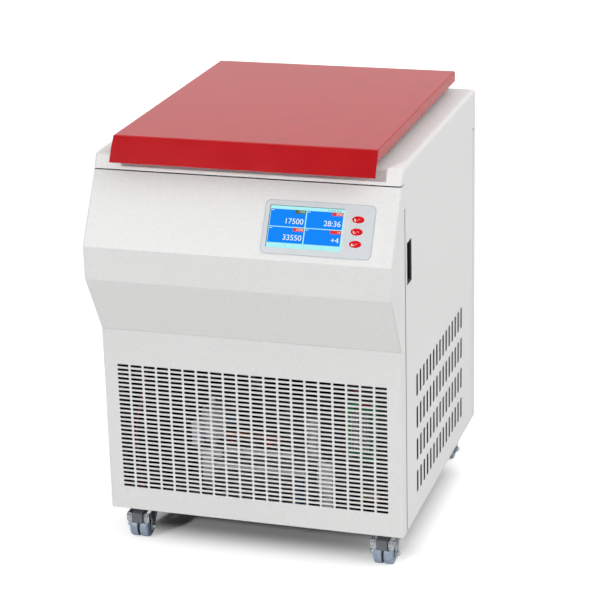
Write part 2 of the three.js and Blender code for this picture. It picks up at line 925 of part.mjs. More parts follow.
function switchRocker() {
  const half = rockerLength / 2;
  const swing = half * Math.tan(rockerTilt * degree);
  const wide = switchWidth / 2 - sheet - fitGap - fitGap;
  const back = -rockerThickness / 2;
  const front = rockerThickness / 4;
  const profile = [[back, -half], [front, -half], [front + swing / 2, 0], [front, half], [back, half]];
  const bore = rodY(rockerPinRadius + fitGap, -wide - cutOverrun, wide + cutOverrun, 0, 0);
  return cut(prismY(profile, -wide, wide), bore);
}

// Lid: folded sheet with a deep slanted front flange and shallow side skirts
function lidShell() {
  const half = lidWidth / 2;
  const skirtZ = lidTop - lidSkirt;
  const flangeFoot = [lidFront - flangeReach, lidTop - flangeDrop];
  const skirtFrontY = lidFront - (flangeReach * lidSkirt) / flangeDrop;
  const rearFoot = [lidRear, skirtZ];
  const corners = [[lidRear, lidTop], [lidFront, lidTop]];
  const band = bentSheet([rearFoot, ...corners, flangeFoot], lidSheet, lidBend);
  const sideFace = bentSheet([rearFoot, ...corners, [skirtFrontY, skirtZ]], lidSheet, lidBend)
    .slice(0, 2 * (cornerSteps + 1) + 2);
  return join(
    prismX(band, -half, half),
    prismX(sideFace, -half, -half + lidSheet),
    prismX(sideFace, half - lidSheet, half),
  );
}

function lidLiner() {
  const top = lidTop - lidSheet - fitGap;
  const half = linerWidth / 2;
  const outline = (inset) => roundedRectangle(
    -half + inset,
    half - inset,
    linerFront + inset,
    linerRear - inset,
    linerRadius - inset,
  );
  return cut(
    prismZ(outline(0), linerBottom, top),
    prismZ(outline(lidSheet), linerBottom + lidSheet, top + cutOverrun),
  );
}

function lidInsulation() {
  const inset = lidSheet + fitGap;
  const half = linerWidth / 2 - inset;
  const outline = roundedRectangle(-half, half, linerFront + inset, linerRear - inset, linerRadius - inset);
  return prismZ(outline, linerBottom + inset, lidTop - lidSheet - fitGap - fitGap);
}

// Lid seal: a soft ring with a rounded lower lip
function lidSeal() {
  const inner = chamberRadius + coverBoreMargin + sealWidth;
  const middle = inner + sealWidth / 2;
  const outer = inner + sealWidth;
  const bottom = coverTop + fitGap;
  const top = linerBottom - fitGap;
  const waist = (bottom + top) / 2;
  const profile = [[inner, waist], [middle, bottom], [outer, waist], [outer, top], [inner, top]];
  return turned(profile, chamberSides).translate(0, chamberY, 0);
}

function lidStriker(x) {
  const half = strikerWidth / 2;
  const top = linerBottom - fitGap;
  const eyeBottom = strikerBottom + strikerEyeRise;
  const plate = rectangle(x - half, x + half, strikerBottom, top);
  const eye = rectangle(
    x - strikerEyeWidth / 2,
    x + strikerEyeWidth / 2,
    eyeBottom,
    eyeBottom + strikerEye,
  );
  const from = strikerY - strikerThickness / 2;
  const to = strikerY + strikerThickness / 2;
  return cut(prismY(plate, from, to), prismY(eye, from - cutOverrun, to + cutOverrun));
}

// Lid hinge: knuckled arms on a shaft, carried by cheeks that stand up through the cover
function hingeArm(x) {
  const top = lidTop - lidSheet - fitGap;
  const half = hingeArmWidth / 2;
  const front = hingeY - hingeArmReach;
  const web = [
    [hingeY, hingeZ - knuckleRadius],
    [hingeY + lidSheet, hingeZ],
    [hingeY + lidSheet, top],
    [front, top],
    [front, top - knuckleRadius],
    [hingeY - knuckleRadius, hingeZ],
  ];
  const arm = join(
    prismX(web, x - half, x + half),
    rodX(knuckleRadius, x - half, x + half, hingeY, hingeZ),
  );
  const past = half + cutOverrun;
  return cut(arm, rodX(hingeShaftRadius + fitGap, x - past, x + past, hingeY, hingeZ));
}

function cheekPlaces() {
  const offset = hingeArmWidth / 2 + cheekGap + cheekThickness / 2;
  return [-1, 1].flatMap((side) => [side * hingeArmX - offset, side * hingeArmX + offset]);
}

function hingeCarrier() {
  const bottom = railTop + fitGap;
  const half = hingeShaftHalf;
  const plate = block(-half, half, carrierFront, innerRear, bottom, bottom + carrierPlate);
  const bore = rodX(hingeShaftRadius + fitGap, -half - cutOverrun, half + cutOverrun, hingeY, hingeZ);
  const cheeks = cheekPlaces().flatMap((x) => {
    const from = x - cheekThickness / 2;
    const to = x + cheekThickness / 2;
    return [
      prismX(rectangle(hingeY - cheekRadius, hingeY + cheekRadius, bottom, hingeZ), from, to),
      rodX(cheekRadius, from, to, hingeY, hingeZ),
    ];
  });
  return cut(join(plate, ...cheeks), bore);
}

function hingeSpring(side) {
  const mean = (hingeShaftRadius + fitGap + springWireRadius) / Math.cos(Math.PI / springTurnSteps);
  const coil = wire(
    new Helix(mean, springPitch, springTurns),
    springWireRadius,
    springSides,
    springTurns * springTurnSteps,
  );
  const length = springTurns * springPitch;
  const inner = hingeArmX - hingeArmWidth / 2 - cheekGap - cheekThickness - fitGap - springWireRadius;
  const start = side > 0 ? inner - length : -inner;
  return coil.rotateY(Math.PI / 2).translate(start, hingeY, hingeZ);
}

// Lid lock: two hooks on one cross shaft, turned into the striker eyes by a gear motor under the bracket
function lockBracket() {
  const top = lockShaftZ - lockPlateDrop;
  const half = lockShaftHalf + lockEarThickness;
  const ears = [-lockEarX, lockEarX].map((x) => {
    const from = x - lockEarThickness / 2;
    const to = x + lockEarThickness / 2;
    return join(
      block(from, to, lockShaftY - lockHubRadius, lockShaftY + lockHubRadius, top, lockShaftZ),
      rodX(lockHubRadius, from, to, lockShaftY, lockShaftZ),
    );
  });
  const bracket = join(
    block(-half, half, lockPlateFront, lockPlateBack, top - sheet, top),
    block(-half, half, lockPlateFront, lockPlateFront + sheet, top - sheet, railTop),
    block(
      -lockMotorWidth / 2,
      lockMotorWidth / 2,
      lockPlateFront + lockMotorMargin,
      lockPlateBack - lockMotorMargin,
      top - sheet - lockMotorHeight,
      top,
    ),
    ...ears,
  );
  return cut(bracket, rodX(lockShaftRadius + fitGap, -half, half, lockShaftY, lockShaftZ));
}

function lockHooks() {
  const noseTip = strikerY - strikerThickness / 2 - lockNoseGap - lockShaftY;
  const noseTop = lockNoseZ + lockNoseHeight / 2 - lockShaftZ;
  const noseBottom = noseTop - lockNoseHeight;
  const armHalf = lockArmWidth / 2;
  const profile = [
    [-armHalf, 0],
    [armHalf, 0],
    [armHalf, noseBottom],
    [noseTip, noseBottom],
    [noseTip, noseTop],
    [0, noseTop + lockNoseHeight / 2],
    [-armHalf, noseBottom],
  ];
  const hooks = [-strikerX, strikerX].flatMap((x) => {
    const from = x - lockHookWidth / 2;
    const to = x + lockHookWidth / 2;
    return [prismX(profile, from, to), rodX(lockHubRadius, from, to, 0, 0)];
  });
  return join(rodX(lockShaftRadius, -lockShaftHalf, lockShaftHalf, 0, 0), ...hooks);
}

// Rotor chamber: a stainless bowl, its evaporator coil, the armour ring and the foam round them
function chamberBowl() {
  const floor = chamberFloor;
  const outer = chamberRadius + sheet;
  const top = coverUnderside - fitGap;
  const bore = neckRadius + neckCollar;
  const profile = [
    [bore, floor],
    [outer - chamberCorner, floor],
    [outer, floor + chamberCorner],
    [outer, top - sheet],
    [chamberRadius + chamberFlange, top - sheet],
    [chamberRadius + chamberFlange, top],
    [chamberRadius, top],
    [chamberRadius, floor + chamberCorner],
    [chamberRadius - chamberCorner, floor + sheet],
    [bore + sheet, floor + sheet],
    [bore + sheet, floor + neckCollarHeight],
    [bore, floor + neckCollarHeight],
  ];
  return turned(profile, chamberSides);
}

function evaporatorCoil() {
  const curve = new Helix(coilMeanRadius, coilPitch, coilTurns);
  const coil = wire(curve, coilRadius, coilSides, coilTurns * coilTurnSteps);
  return coil.translate(0, 0, chamberFloor + coilRise);
}

function armourRing() {
  const outer = armourInner + armourThickness;
  const bottom = chamberFloor + armourRise;
  const top = coverUnderside - sheet - fitGap - fitGap;
  return turned([[armourInner, bottom], [outer, bottom], [outer, top], [armourInner, top]], chamberSides);
}

function chamberInsulation() {
  const half = insulationHalf;
  const bottom = deckHeight + deckPlate + fitGap + fitGap;
  const top = coverUnderside - sheet - fitGap - fitGap;
  const floor = chamberFloor - fitGap;
  return cut(
    block(-half, half, -half, half, bottom, top),
    rodZ(insulationBore, floor, top + cutOverrun, chamberSides),
    rodZ(deckBoreRadius, bottom - cutOverrun, floor + cutOverrun, chamberSides),
  );
}

// Drive motor: hung from the deck on rubber dampers, with its neck up through the chamber floor
function driveMotor() {
  const flangeTop = motorFlangeTop;
  const flangeBottom = flangeTop - motorFlange;
  const bottom = flangeBottom - motorHeight;
  const bore = spindleRadius + fitGap;
  return turned([
    [0, bottom],
    [motorRadius - chamberCorner, bottom],
    [motorRadius, bottom + chamberCorner],
    [motorRadius, flangeBottom],
    [motorFlangeRadius, flangeBottom],
    [motorFlangeRadius, flangeTop],
    [motorShoulderRadius, flangeTop],
    [neckRadius, deckHeight],
    [neckRadius, neckTop],
    [bore, neckTop],
    [bore, spindleBottom - fitGap],
    [0, spindleBottom - fitGap],
  ], shaftSides);
}

function motorDamper() {
  return turned([
    [0, 0],
    [damperRadius, 0],
    [damperWaist, damperHeight / 2],
    [damperRadius, damperHeight],
    [0, damperHeight],
  ], pinSides);
}

function driveSpindle() {
  const collarTop = rotorBottom - fitGap;
  const top = rotorBottom + rotorHeight + nutHeight - nutCap;
  return turned([
    [0, spindleBottom],
    [spindleRadius, spindleBottom],
    [spindleRadius, collarTop - spindleCollar],
    [spindleCollarRadius, collarTop - spindleCollar],
    [spindleCollarRadius, collarTop],
    [spindleRadius, collarTop],
    [spindleRadius, top],
    [0, top],
  ], drumSides);
}

// Rotor: a conical body with a recessed underside and six pockets that lean in towards the axis
function rotorBody() {
  const bore = spindleRadius + fitGap;
  const bowl = turned([
    [bore, 0],
    [rotorHubRadius, 0],
    [rotorHubRadius + rotorRecess, rotorRecess],
    [rotorFootRadius - rotorRecess, rotorRecess],
    [rotorFootRadius, 0],
    [rotorRadius, rotorFoot],
    [rotorRadius, rotorFoot + rotorRim],
    [rotorTopRadius, rotorHeight],
    [bore, rotorHeight],
  ], rotorSides);
  const lean = pocketAngle * degree;
  const footRadius = pocketReach - pocketRadius * Math.cos(lean);
  const pocket = turned([
    [0, 0],
    [pocketRadius / 2, 0],
    [pocketRadius, pocketRadius / 2],
    [pocketRadius, rotorHeight],
    [0, rotorHeight],
  ], pocketSides);
  pocket.rotateY(-lean).translate(footRadius, 0, pocketFloor);
  const pockets = Array.from({ length: pocketCount }, (_, index) => (
    pocket.clone().rotateZ((index * 2 * Math.PI) / pocketCount)
  ));
  return cut(bowl, ...pockets);
}

function rotorNut() {
  const bore = spindleRadius + fitGap;
  const body = turned([
    [bore, 0],
    [nutRadius, 0],
    [nutRadius, nutHeight - nutCap / 2],
    [nutRadius - nutCap / 2, nutHeight],
    [0, nutHeight],
    [0, nutHeight - nutCap + fitGap],
    [bore, nutHeight - nutCap + fitGap],
  ], shaftSides);
  const flutes = Array.from({ length: nutFlutes }, (_, index) => (
    rodZ(nutFluteRadius, nutCap / 2, nutHeight + cutOverrun, pinSides)
      .translate(nutRadius + nutFluteRadius / 2, 0, 0)
      .rotateZ((index * 2 * Math.PI) / nutFlutes)
  ));
  return cut(body, ...flutes);
}

// Refrigeration: hermetic compressor, finned condenser with its fan, filter drier and suction line
function compressor() {
  const foot = compressorRadius + compressorFootMargin;
  const dome = compressorRadius / 2;
  const shoulder = compressorHeight - dome;
  const crown = ellipse(0, shoulder, compressorRadius, dome, 4 * (cornerSteps + 1)).slice(0, cornerSteps + 1);
  const shell = turned([[0, 0], [compressorRadius, 0], ...crown, [0, compressorHeight]], compressorSides);
  return join(shell, block(-foot, foot, -foot / 2, foot / 2, 0, compressorFoot));
}

function condenserBlock() {
  const bottom = basePlate + fitGap;
  const back = condenserFront + condenserDepth;
  const middle = condenserFront + condenserDepth / 2;
  const pitch = condenserWidth / (condenserFins + 1);
  const gap = pitch * (1 - finShare);
  const gaps = (from, to) => prismY(
    grid(condenserFins, 1, pitch, 0, condenserX, 0, (x) => rectangle(
      x - gap / 2,
      x + gap / 2,
      bottom + condenserWeb,
      bottom + condenserHeight - condenserWeb,
    )),
    from,
    to,
  );
  return cut(
    block(condenserLeft, condenserRight, condenserFront, back, bottom, bottom + condenserHeight),
    gaps(condenserFront - cutOverrun, middle - condenserWeb / 2),
    gaps(middle + condenserWeb / 2, back + cutOverrun),
  );
}

function fanPlace() {
  return {
    x: condenserX,
    y: condenserFront + condenserDepth + fitGap,
    z: basePlate + fitGap + condenserHeight / 2,
  };
}

function fanShroud() {
  const { x, y, z } = fanPlace();
  const half = condenserHeight / 2;
  const mouth = fanRadius + fanTip;
  const back = y + shroudDepth;
  const box = block(x - half, x + half, y, back, z - half, z + half);
  const throat = rodY(mouth, y - cutOverrun, back + cutOverrun, x, z, fanThroatSides);
  const span = 2 * (mouth + shroudWall);
  const arms = [
    prismY(slot(x, z, span, fanArm), back - shroudWall, back),
    prismY(slot(x, z, fanArm, span), back - shroudWall, back),
  ];
  const pin = rodY(fanPinRadius, y + shroudDepth / 4, back, x, z);
  return join(cut(box, throat), ...arms, pin);
}

function fanRotor() {
  const hub = rodY(fanHubRadius, 0, fanHubDepth, 0, 0, shaftSides);
  const blades = Array.from({ length: fanBlades }, (_, index) => {
    const blade = block(
      -fanBladeChord / 2,
      fanBladeChord / 2,
      -fanBladeThickness / 2,
      fanBladeThickness / 2,
      fanHubRadius / 2,
      fanRadius,
    );
    return blade
      .rotateZ(fanBladePitch * degree)
      .translate(0, fanHubDepth / 2, 0)
      .rotateY((index * 2 * Math.PI) / fanBlades);
  });
  const bore = rodY(fanPinRadius + fitGap, -cutOverrun - fanHubDepth, fanHubDepth + fanHubDepth, 0, 0);
  return cut(join(hub, ...blades), bore);
}

function filterDrier() {
  const neck = drierRadius * drierNeckShare;
  return turned([
    [0, 0],
    [drierStubRadius, 0],
    [drierStubRadius, drierStub],
    [neck, drierStub],
    [drierRadius, drierStub + neck],
    [drierRadius, drierStub + drierHeight - neck],
    [neck, drierStub + drierHeight],
    [drierStubRadius, drierStub + drierHeight],
    [drierStubRadius, drierStub + drierHeight + drierStub],
    [0, drierStub + drierHeight + drierStub],
  ], drumSides);
}

function suctionLine() {
  const start = new THREE.Vector3(
    compressorX,
    compressorY,
    basePlate + fitGap + compressorHeight + fitGap,
  );
  const top = deckHeight - fitGap - pipeRadius / 4;
  const side = -postInner + pipeStubRise;
  const curve = new THREE.CatmullRomCurve3([
    start,
    start.clone().add(new THREE.Vector3(0, 0, pipeStubRise)),
    new THREE.Vector3(side, compressorY, start.z + 2 * pipeStubRise),
    new THREE.Vector3(side, compressorY, top - pipeStubRise),
    new THREE.Vector3(side, compressorY, top),
  ]);
  return wire(curve, pipeRadius, pipeSides, pipeSteps);
}

// Electrics: frequency-inverter box on the floor plate with a green board on its front
function driveBox() {
  const bottom = basePlate + fitGap;
  const outline = roundedRectangle(
    driveBoxLeft,
    driveBoxLeft + driveBoxWidth,
    driveBoxFront,
    driveBoxFront + driveBoxDepth,
    edgeRadius / 2,
  );
  return prismZ(outline, bottom, bottom + driveBoxHeight);
}

function inverterBoard() {
  const back = driveBoxFront - fitGap;
  const left = inverterX - inverterWidth / 2;
  const board = block(
    left,
    left + inverterWidth,
    back - boardThickness,
    back,
    inverterBottom,
    inverterBottom + inverterHeight,
  );
  const middle = inverterBottom + inverterHeight / 2;
  const front = back - boardThickness - heatSinkDepth;
  const sink = block(
    inverterX - heatSinkWidth / 2,
    inverterX + heatSinkWidth / 2,
    front,
    back,
    middle - heatSinkHeight / 2,
    middle + heatSinkHeight / 2,
  );
  const pitch = heatSinkWidth / (heatSinkSlots + 1);
  const grooves = grid(heatSinkSlots, 1, pitch, 0, inverterX, 0, (x) => rectangle(
    x - pitch / 4,
    x + pitch / 4,
    inverterBottom,
    inverterBottom + inverterHeight,
  ));
  return join(board, cut(sink, prismY(grooves, front - cutOverrun, front + heatSinkDepth / 2)));
}

// Castors, drawn with the swivel axis through the origin and the wheels trailing towards -Y
function castorPlaces() {
  return ['front', 'rear'].flatMap((row) => ['left', 'right'].map((side) => ({
    name: `castor_${row}_${side}`,
    x: side === 'left' ? -castorX : castorX,
    y: row === 'front' ? castorSetback : cabinetDepth - castorSetback,
    braked: row === 'front',
  })));
}

function castorFork(braked) {
  const top = groundClearance - castorPlate - fitGap;
  const shoulder = top - forkHead;
  const inner = wheelGap / 2 + wheelWidth + forkSideGap;
  const outer = inner + forkSheet;
  const legOutline = [
    [forkBridgeReach, shoulder],
    [-forkBridgeReach, shoulder],
    ...arc(-castorTrail, wheelRadius, forkEyeRadius, 180, 360, forkEyeSteps),
    [forkBridgeReach, shoulder - forkBridge],
  ];
  const parts = [
    rodZ(forkHeadRadius, shoulder - forkBridge / 2, top),
    block(-outer, outer, -forkBridgeReach, forkBridgeReach, shoulder - forkBridge, shoulder),
    prismX(legOutline, -outer, -inner),
    prismX(legOutline, inner, outer),
    rodX(axleRadius, -outer, outer, -castorTrail, wheelRadius, pinSides),
    axleCap().translate(outer, -castorTrail, wheelRadius),
    axleCap().rotateZ(Math.PI).translate(-outer, -castorTrail, wheelRadius),
  ];
  if (braked) parts.push(rodX(brakePinRadius, -outer, outer, brakePinY, brakePinZ, pinSides));
  return join(...parts);
}

function axleCap() {
  return turned([
    [0, -forkSheet / 2],
    [axleHeadRadius, -forkSheet / 2],
    [axleHeadRadius / 2, axleHead],
    [0, axleHead],
  ], pinSides).rotateY(Math.PI / 2);
}

function castorWheels() {
  const bore = axleRadius + fitGap;
  const inside = wheelGap / 2;
  const outside = inside + wheelWidth;
  const tread = wheelRadius / Math.cos(Math.PI / wheelSides);
  const half = (side) => [
    [wheelHubRadius, side * inside],
    [tread, side * inside],
    [tread, side * (outside - wheelEdge)],
    [tread - wheelEdge, side * outside],
    [bore, side * outside],
  ];
  const profile = [...half(-1).reverse(), ...half(1)];
  return turned(profile, wheelSides).rotateY(Math.PI / 2).rotateX(Math.PI / wheelSides);
}

function brakePedal() {
  const half = brakeWidth / 2;
  const front = -brakeReach;
  const back = front + brakeBlock;
  const underBridge = groundClearance - castorPlate - fitGap - forkHead - forkBridge - fitGap;
  const armTop = Math.min(brakePinZ + brakeHubRadius, underBridge);
  const outline = [
    [brakePinY, brakePinZ - brakeHubRadius],
    [brakePinY, armTop],
    [back, armTop],
    [back, brakeTop],
    [front + brakeBlock / 4, brakeTop],
    [front, brakeTop - brakeBlock / 4],
    [front, brakeFoot],
    [back, brakePinZ - brakeHubRadius],
  ];
  const hub = rodX(brakeHubRadius, -half, half, brakePinY, brakePinZ);
  const bore = rodX(brakePinRadius + fitGap, -half - cutOverrun, half + cutOverrun, brakePinY, brakePinZ);
  return cut(join(prismX(outline, -half, half), hub), bore);
}

// Assembly
const machine = new THREE.Group();

const cabinet = new THREE.Group();
cabinet.position.set(0, -originDepth, groundClearance);
machine.add(cabinet);

const consoleFace = new THREE.Group();
consoleFace.position.set(0, consoleSetback, seamZ);
consoleFace.rotation.x = slantAngle;
consoleFace.updateMatrix();
cabinet.add(consoleFace);

add(cabinet, 'chassis', chassis(), darkSteel);
add(cabinet, 'chamber_deck', chamberDeck(), zincSteel);
add(cabinet, 'top_cover', topCover(), whiteEnamel);
add(cabinet, 'front_fascia', frontFascia(consoleFace.matrix), whiteEnamel);
add(cabinet, 'front_grille_panel', grillePanel(), whiteEnamel);
add(cabinet, 'side_panel_left', sidePanel(-1), whiteEnamel);
add(cabinet, 'side_panel_right', sidePanel(1), whiteEnamel);
add(cabinet, 'rear_panel', rearPanel(), whiteEnamel);
add(cabinet, 'mains_inlet', mainsInlet(), blackPlastic);

add(consoleFace, 'control_bezel', controlBezel(), overlayFilm);
add(consoleFace, 'display_screen', displayScreen(), displayGlass);
add(consoleFace, 'control_board', controlBoard(), boardGreen);
['key_upper', 'key_middle', 'key_lower'].forEach((name, index) => {
  add(consoleFace, name, controlKey(keyPlaces()[index]), redPlastic);
});

add(cabinet, 'switch_housing', switchHousing(), blackPlastic);
const rocker = add(cabinet, 'switch_rocker', switchRocker(), blackPlastic);
rocker.position.set(switchPlace().x, switchY, switchPlace().z);
rocker.rotation.y = rockerTilt * degree;

add(cabinet, 'lid_shell', lidShell(), redEnamel);
add(cabinet, 'lid_liner', lidLiner(), greyPlastic);
add(cabinet, 'lid_insulation', lidInsulation(), foam);
add(cabinet, 'lid_seal', lidSeal(), rubber);
add(cabinet, 'lid_striker_left', lidStriker(-strikerX), zincSteel);
add(cabinet, 'lid_striker_right', lidStriker(strikerX), zincSteel);
add(cabinet, 'hinge_arm_left', hingeArm(-hingeArmX), zincSteel);
add(cabinet, 'hinge_arm_right', hingeArm(hingeArmX), zincSteel);
add(cabinet, 'hinge_carrier', hingeCarrier(), zincSteel);
const shaft = rodX(hingeShaftRadius, -hingeShaftHalf, hingeShaftHalf, hingeY, hingeZ);
add(cabinet, 'hinge_shaft', shaft, stainless);
add(cabinet, 'hinge_spring_left', hingeSpring(-1), darkSteel);
add(cabinet, 'hinge_spring_right', hingeSpring(1), darkSteel);

add(cabinet, 'lock_bracket', lockBracket(), zincSteel);
const hooks = add(cabinet, 'lock_hooks', lockHooks(), zincSteel);
hooks.position.set(0, lockShaftY, lockShaftZ);

const chamber = new THREE.Group();
chamber.position.y = chamberY;
cabinet.add(chamber);
add(chamber, 'chamber_bowl', chamberBowl(), stainless);
add(chamber, 'evaporator_coil', evaporatorCoil(), copper);
add(chamber, 'armour_ring', armourRing(), darkSteel);
add(chamber, 'chamber_insulation', chamberInsulation(), foam);
add(chamber, 'drive_motor', driveMotor(), darkSteel);
for (let index = 0; index < damperCount; index += 1) {
  const damper = add(chamber, `motor_damper_${index + 1}`, motorDamper(), rubber);
  const angle = (index * 2 * Math.PI) / damperCount;
  damper.position.set(
    damperCircle * Math.cos(angle),
    damperCircle * Math.sin(angle),
    motorFlangeTop + fitGap,
  );
}
add(chamber, 'drive_spindle', driveSpindle(), stainless);
const rotor = add(chamber, 'rotor', rotorBody(), aluminium);
rotor.position.z = rotorBottom;
const nut = add(chamber, 'rotor_nut', rotorNut(), blackPlastic);
nut.position.z = rotorBottom + rotorHeight + fitGap;

const pump = add(cabinet, 'compressor', compressor(), darkSteel);
pump.position.set(compressorX, compressorY, basePlate + fitGap);
add(cabinet, 'condenser', condenserBlock(), aluminium);
add(cabinet, 'fan_shroud', fanShroud(), blackPlastic);
const fan = add(cabinet, 'fan', fanRotor(), blackPlastic);
fan.position.set(fanPlace().x, fanPlace().y + shroudDepth / 4 + fitGap, fanPlace().z);
const drier = add(cabinet, 'filter_drier', filterDrier(), whitePlastic);
drier.position.set(
  drierX,
  condenserFront + condenserDepth / 2,
  basePlate + fitGap + condenserHeight + fitGap,
);
add(cabinet, 'suction_line', suctionLine(), copper);
add(cabinet, 'drive_box', driveBox(), zincSteel);
add(cabinet, 'inverter_board', inverterBoard(), boardGreen);

castorPlaces().forEach(({ name, x, y, braked }) => {
  const castor = new THREE.Group();
  castor.position.set(x, y - originDepth, 0);
  machine.add(castor);
  add(castor, `${name}_fork`, castorFork(braked), zincSteel);
  const wheels = add(castor, `${name}_wheels`, castorWheels(), wheelPlastic);
  wheels.position.set(0, -castorTrail, wheelRadius);
  if (braked) add(castor, `${name}_brake`, brakePedal(), greyPlastic);
});

export default machine;
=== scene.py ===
from math import acos, cos, pi, radians, sin, tan

import bmesh
import bpy
from mathutils import Matrix, Vector
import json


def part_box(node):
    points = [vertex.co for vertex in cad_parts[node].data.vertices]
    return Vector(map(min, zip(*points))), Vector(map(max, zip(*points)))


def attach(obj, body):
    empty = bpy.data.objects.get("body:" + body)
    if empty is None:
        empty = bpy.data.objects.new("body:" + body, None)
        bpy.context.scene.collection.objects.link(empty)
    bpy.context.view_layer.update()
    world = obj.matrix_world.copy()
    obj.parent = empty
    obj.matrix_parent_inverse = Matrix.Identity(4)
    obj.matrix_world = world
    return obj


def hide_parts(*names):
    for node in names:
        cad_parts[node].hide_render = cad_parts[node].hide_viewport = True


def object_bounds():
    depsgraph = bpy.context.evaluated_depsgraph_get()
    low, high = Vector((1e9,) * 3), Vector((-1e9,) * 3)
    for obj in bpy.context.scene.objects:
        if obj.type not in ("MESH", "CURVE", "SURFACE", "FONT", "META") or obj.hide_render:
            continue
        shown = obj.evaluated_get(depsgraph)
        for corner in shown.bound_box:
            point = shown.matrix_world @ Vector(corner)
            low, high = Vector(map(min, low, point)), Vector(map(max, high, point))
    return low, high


# A floor-standing refrigerated centrifuge. Pieces are drawn in millimetres, in the frame's own place,
# and newPiece turns them to metres.
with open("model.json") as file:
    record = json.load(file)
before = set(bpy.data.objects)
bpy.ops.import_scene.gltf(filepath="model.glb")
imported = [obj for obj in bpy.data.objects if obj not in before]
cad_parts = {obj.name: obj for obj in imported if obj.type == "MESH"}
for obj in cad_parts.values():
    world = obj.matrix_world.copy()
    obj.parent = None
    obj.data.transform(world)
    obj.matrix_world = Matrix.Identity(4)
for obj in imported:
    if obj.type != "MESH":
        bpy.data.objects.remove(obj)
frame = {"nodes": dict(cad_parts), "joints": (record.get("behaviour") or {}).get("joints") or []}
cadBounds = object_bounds()
scene = bpy.context.scene
scene.view_settings.view_transform = "Standard"
millimetre = 0.001
overrun = 5  # how far a cutter runs past what it cuts
print("frame loaded")


def cadBox(node):
    low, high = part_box(node)
    return low / millimetre, high / millimetre


def jointNamed(name):
    return next(joint for joint in frame["joints"] if joint["name"] == name)


def boxAndCentre(node):
    low, high = cadBox(node)
    return low, high, (low + high) / 2


# A dictionary whose values can be read by name
class Settings(dict):
    __getattr__ = dict.__getitem__


def linear(hexColour):
    channels = [int(hexColour[i:i + 2], 16) / 255 for i in (1, 3, 5)]
    return [c / 12.92 if c <= 0.04045 else ((c + 0.055) / 1.055) ** 2.4 for c in channels] + [1]


# A link comes from the output given, or from the first one of the node given
def addNode(tree, kind, settings=None, links=None):
    node = tree.nodes.new("ShaderNode" + kind)
    for key, value in (settings or {}).items():
        if isinstance(key, int) or key in node.inputs:
            node.inputs[key].default_value = value
        else:
            setattr(node, key, value)
    for key, source in (links or {}).items():
        tree.links.new(getattr(source, "outputs", [source])[0], node.inputs[key])
    return node


# Every finish has blotches in its colour, a drift in its roughness and a fine relief, all sized in millimetres
def makeFinish(name, colour, shade, roughness, metallic=0, blotch=30, relief=(1, 0.01), drift=0.06,
               stretch=(1, 1, 1), **sockets):
    material = bpy.data.materials.new(name)
    material.use_nodes = True
    tree = material.node_tree
    surface = tree.nodes["Principled BSDF"]
    surface.inputs["Metallic"].default_value = metallic
    for key, value in sockets.items():
        surface.inputs[key.replace("_", " ")].default_value = value
    place = addNode(tree, "TexCoord")
    grain = addNode(tree, "Mapping", {"Scale": stretch}, {"Vector": place.outputs["Object"]})
    patches = addNode(tree, "TexNoise", {"Scale": 1 / (blotch * millimetre), "Detail": 3}, {"Vector": grain})
    tone = addNode(tree, "ValToRGB", links={"Fac": patches})
    tone.color_ramp.elements[0].position = 0.35
    tone.color_ramp.elements[1].position = 0.65
    tone.color_ramp.elements[0].color = linear(shade)
    tone.color_ramp.elements[1].color = linear(colour)
    tree.links.new(tone.outputs["Color"], surface.inputs["Base Color"])
    polish = addNode(tree, "MapRange", {"To Min": roughness - drift / 2, "To Max": roughness + drift / 2},
        {"Value": patches})
    tree.links.new(polish.outputs["Result"], surface.inputs["Roughness"])
    size, height = relief
    bumps = addNode(tree, "TexNoise", {"Scale": 1 / (size * millimetre), "Detail": 2}, {"Vector": grain})
    skin = addNode(tree, "Bump", {"Distance": height * millimetre, "Strength": 1}, {"Height": bumps})
    tree.links.new(skin.outputs["Normal"], surface.inputs["Normal"])
    return material


# Polyester powder coat with a fine texture: baked grains about 2 mm across break up the shine
powderWhite = makeFinish("powderCoatWhite", "#F5F5F4", "#EDEDEC", 0.42, blotch=3, relief=(2.2, 0.05))
# Gloss powder coat: a mirror-like skin with a slight orange peel of about 4 mm
powderRed = makeFinish("powderCoatRed", "#C60F19", "#C00D17", 0.14, blotch=60, relief=(4, 0.006), drift=0.03)
# Semi-matt stoving paint on the welded frame: flat, faintly cloudy
chassisPaint = makeFinish("chassisPaint", "#3A3C3E", "#303234", 0.55, relief=(1.5, 0.02))
# Satin black paint on drawn steel shells: dull, with a soft pebble
blackPaint = makeFinish("blackShellPaint", "#151617", "#0E0F10", 0.45, relief=(1.5, 0.03))
# Bright zinc plate: bluish metal with faint crystal patches
zincPlate = makeFinish("brightZinc", "#D6DADE", "#BFC4C9", 0.3, 1, blotch=6, relief=(3, 0.01), drift=0.14)
# Polished stainless sheet, turned: fine rings round the bowl
stainlessSheet = makeFinish("turnedStainless", "#C9CBCC", "#B7B9BB", 0.24, 1, blotch=8, relief=(2, 0.006),
    stretch=(0.15, 0.15, 6))
# Rolled steel plate, oiled: dark and blotchy
steelPlate = makeFinish("oiledSteel", "#5A5D60", "#3E4042", 0.45, 1, blotch=25)
# Clear anodised aluminium, machined: pale satin metal
anodised = makeFinish("anodisedAluminium", "#C5C8CB", "#B8BBBF", 0.34, 1, blotch=2, relief=(0.6, 0.004))
# Mill-finish aluminium foil fins: pale and streaky
finFoil = makeFinish("finFoil", "#D5D7D9", "#BFC2C5", 0.38, 1, blotch=5, relief=(2, 0.01))
# Drawn copper tube: warm metal, browner in patches
copperTube = makeFinish("drawnCopper", "#C98A5E", "#A8653C", 0.32, 1, blotch=12)
# Oil-tempered spring wire: near-black metal
springWire = makeFinish("springWire", "#54565A", "#3C3E41", 0.35, 1, blotch=6)
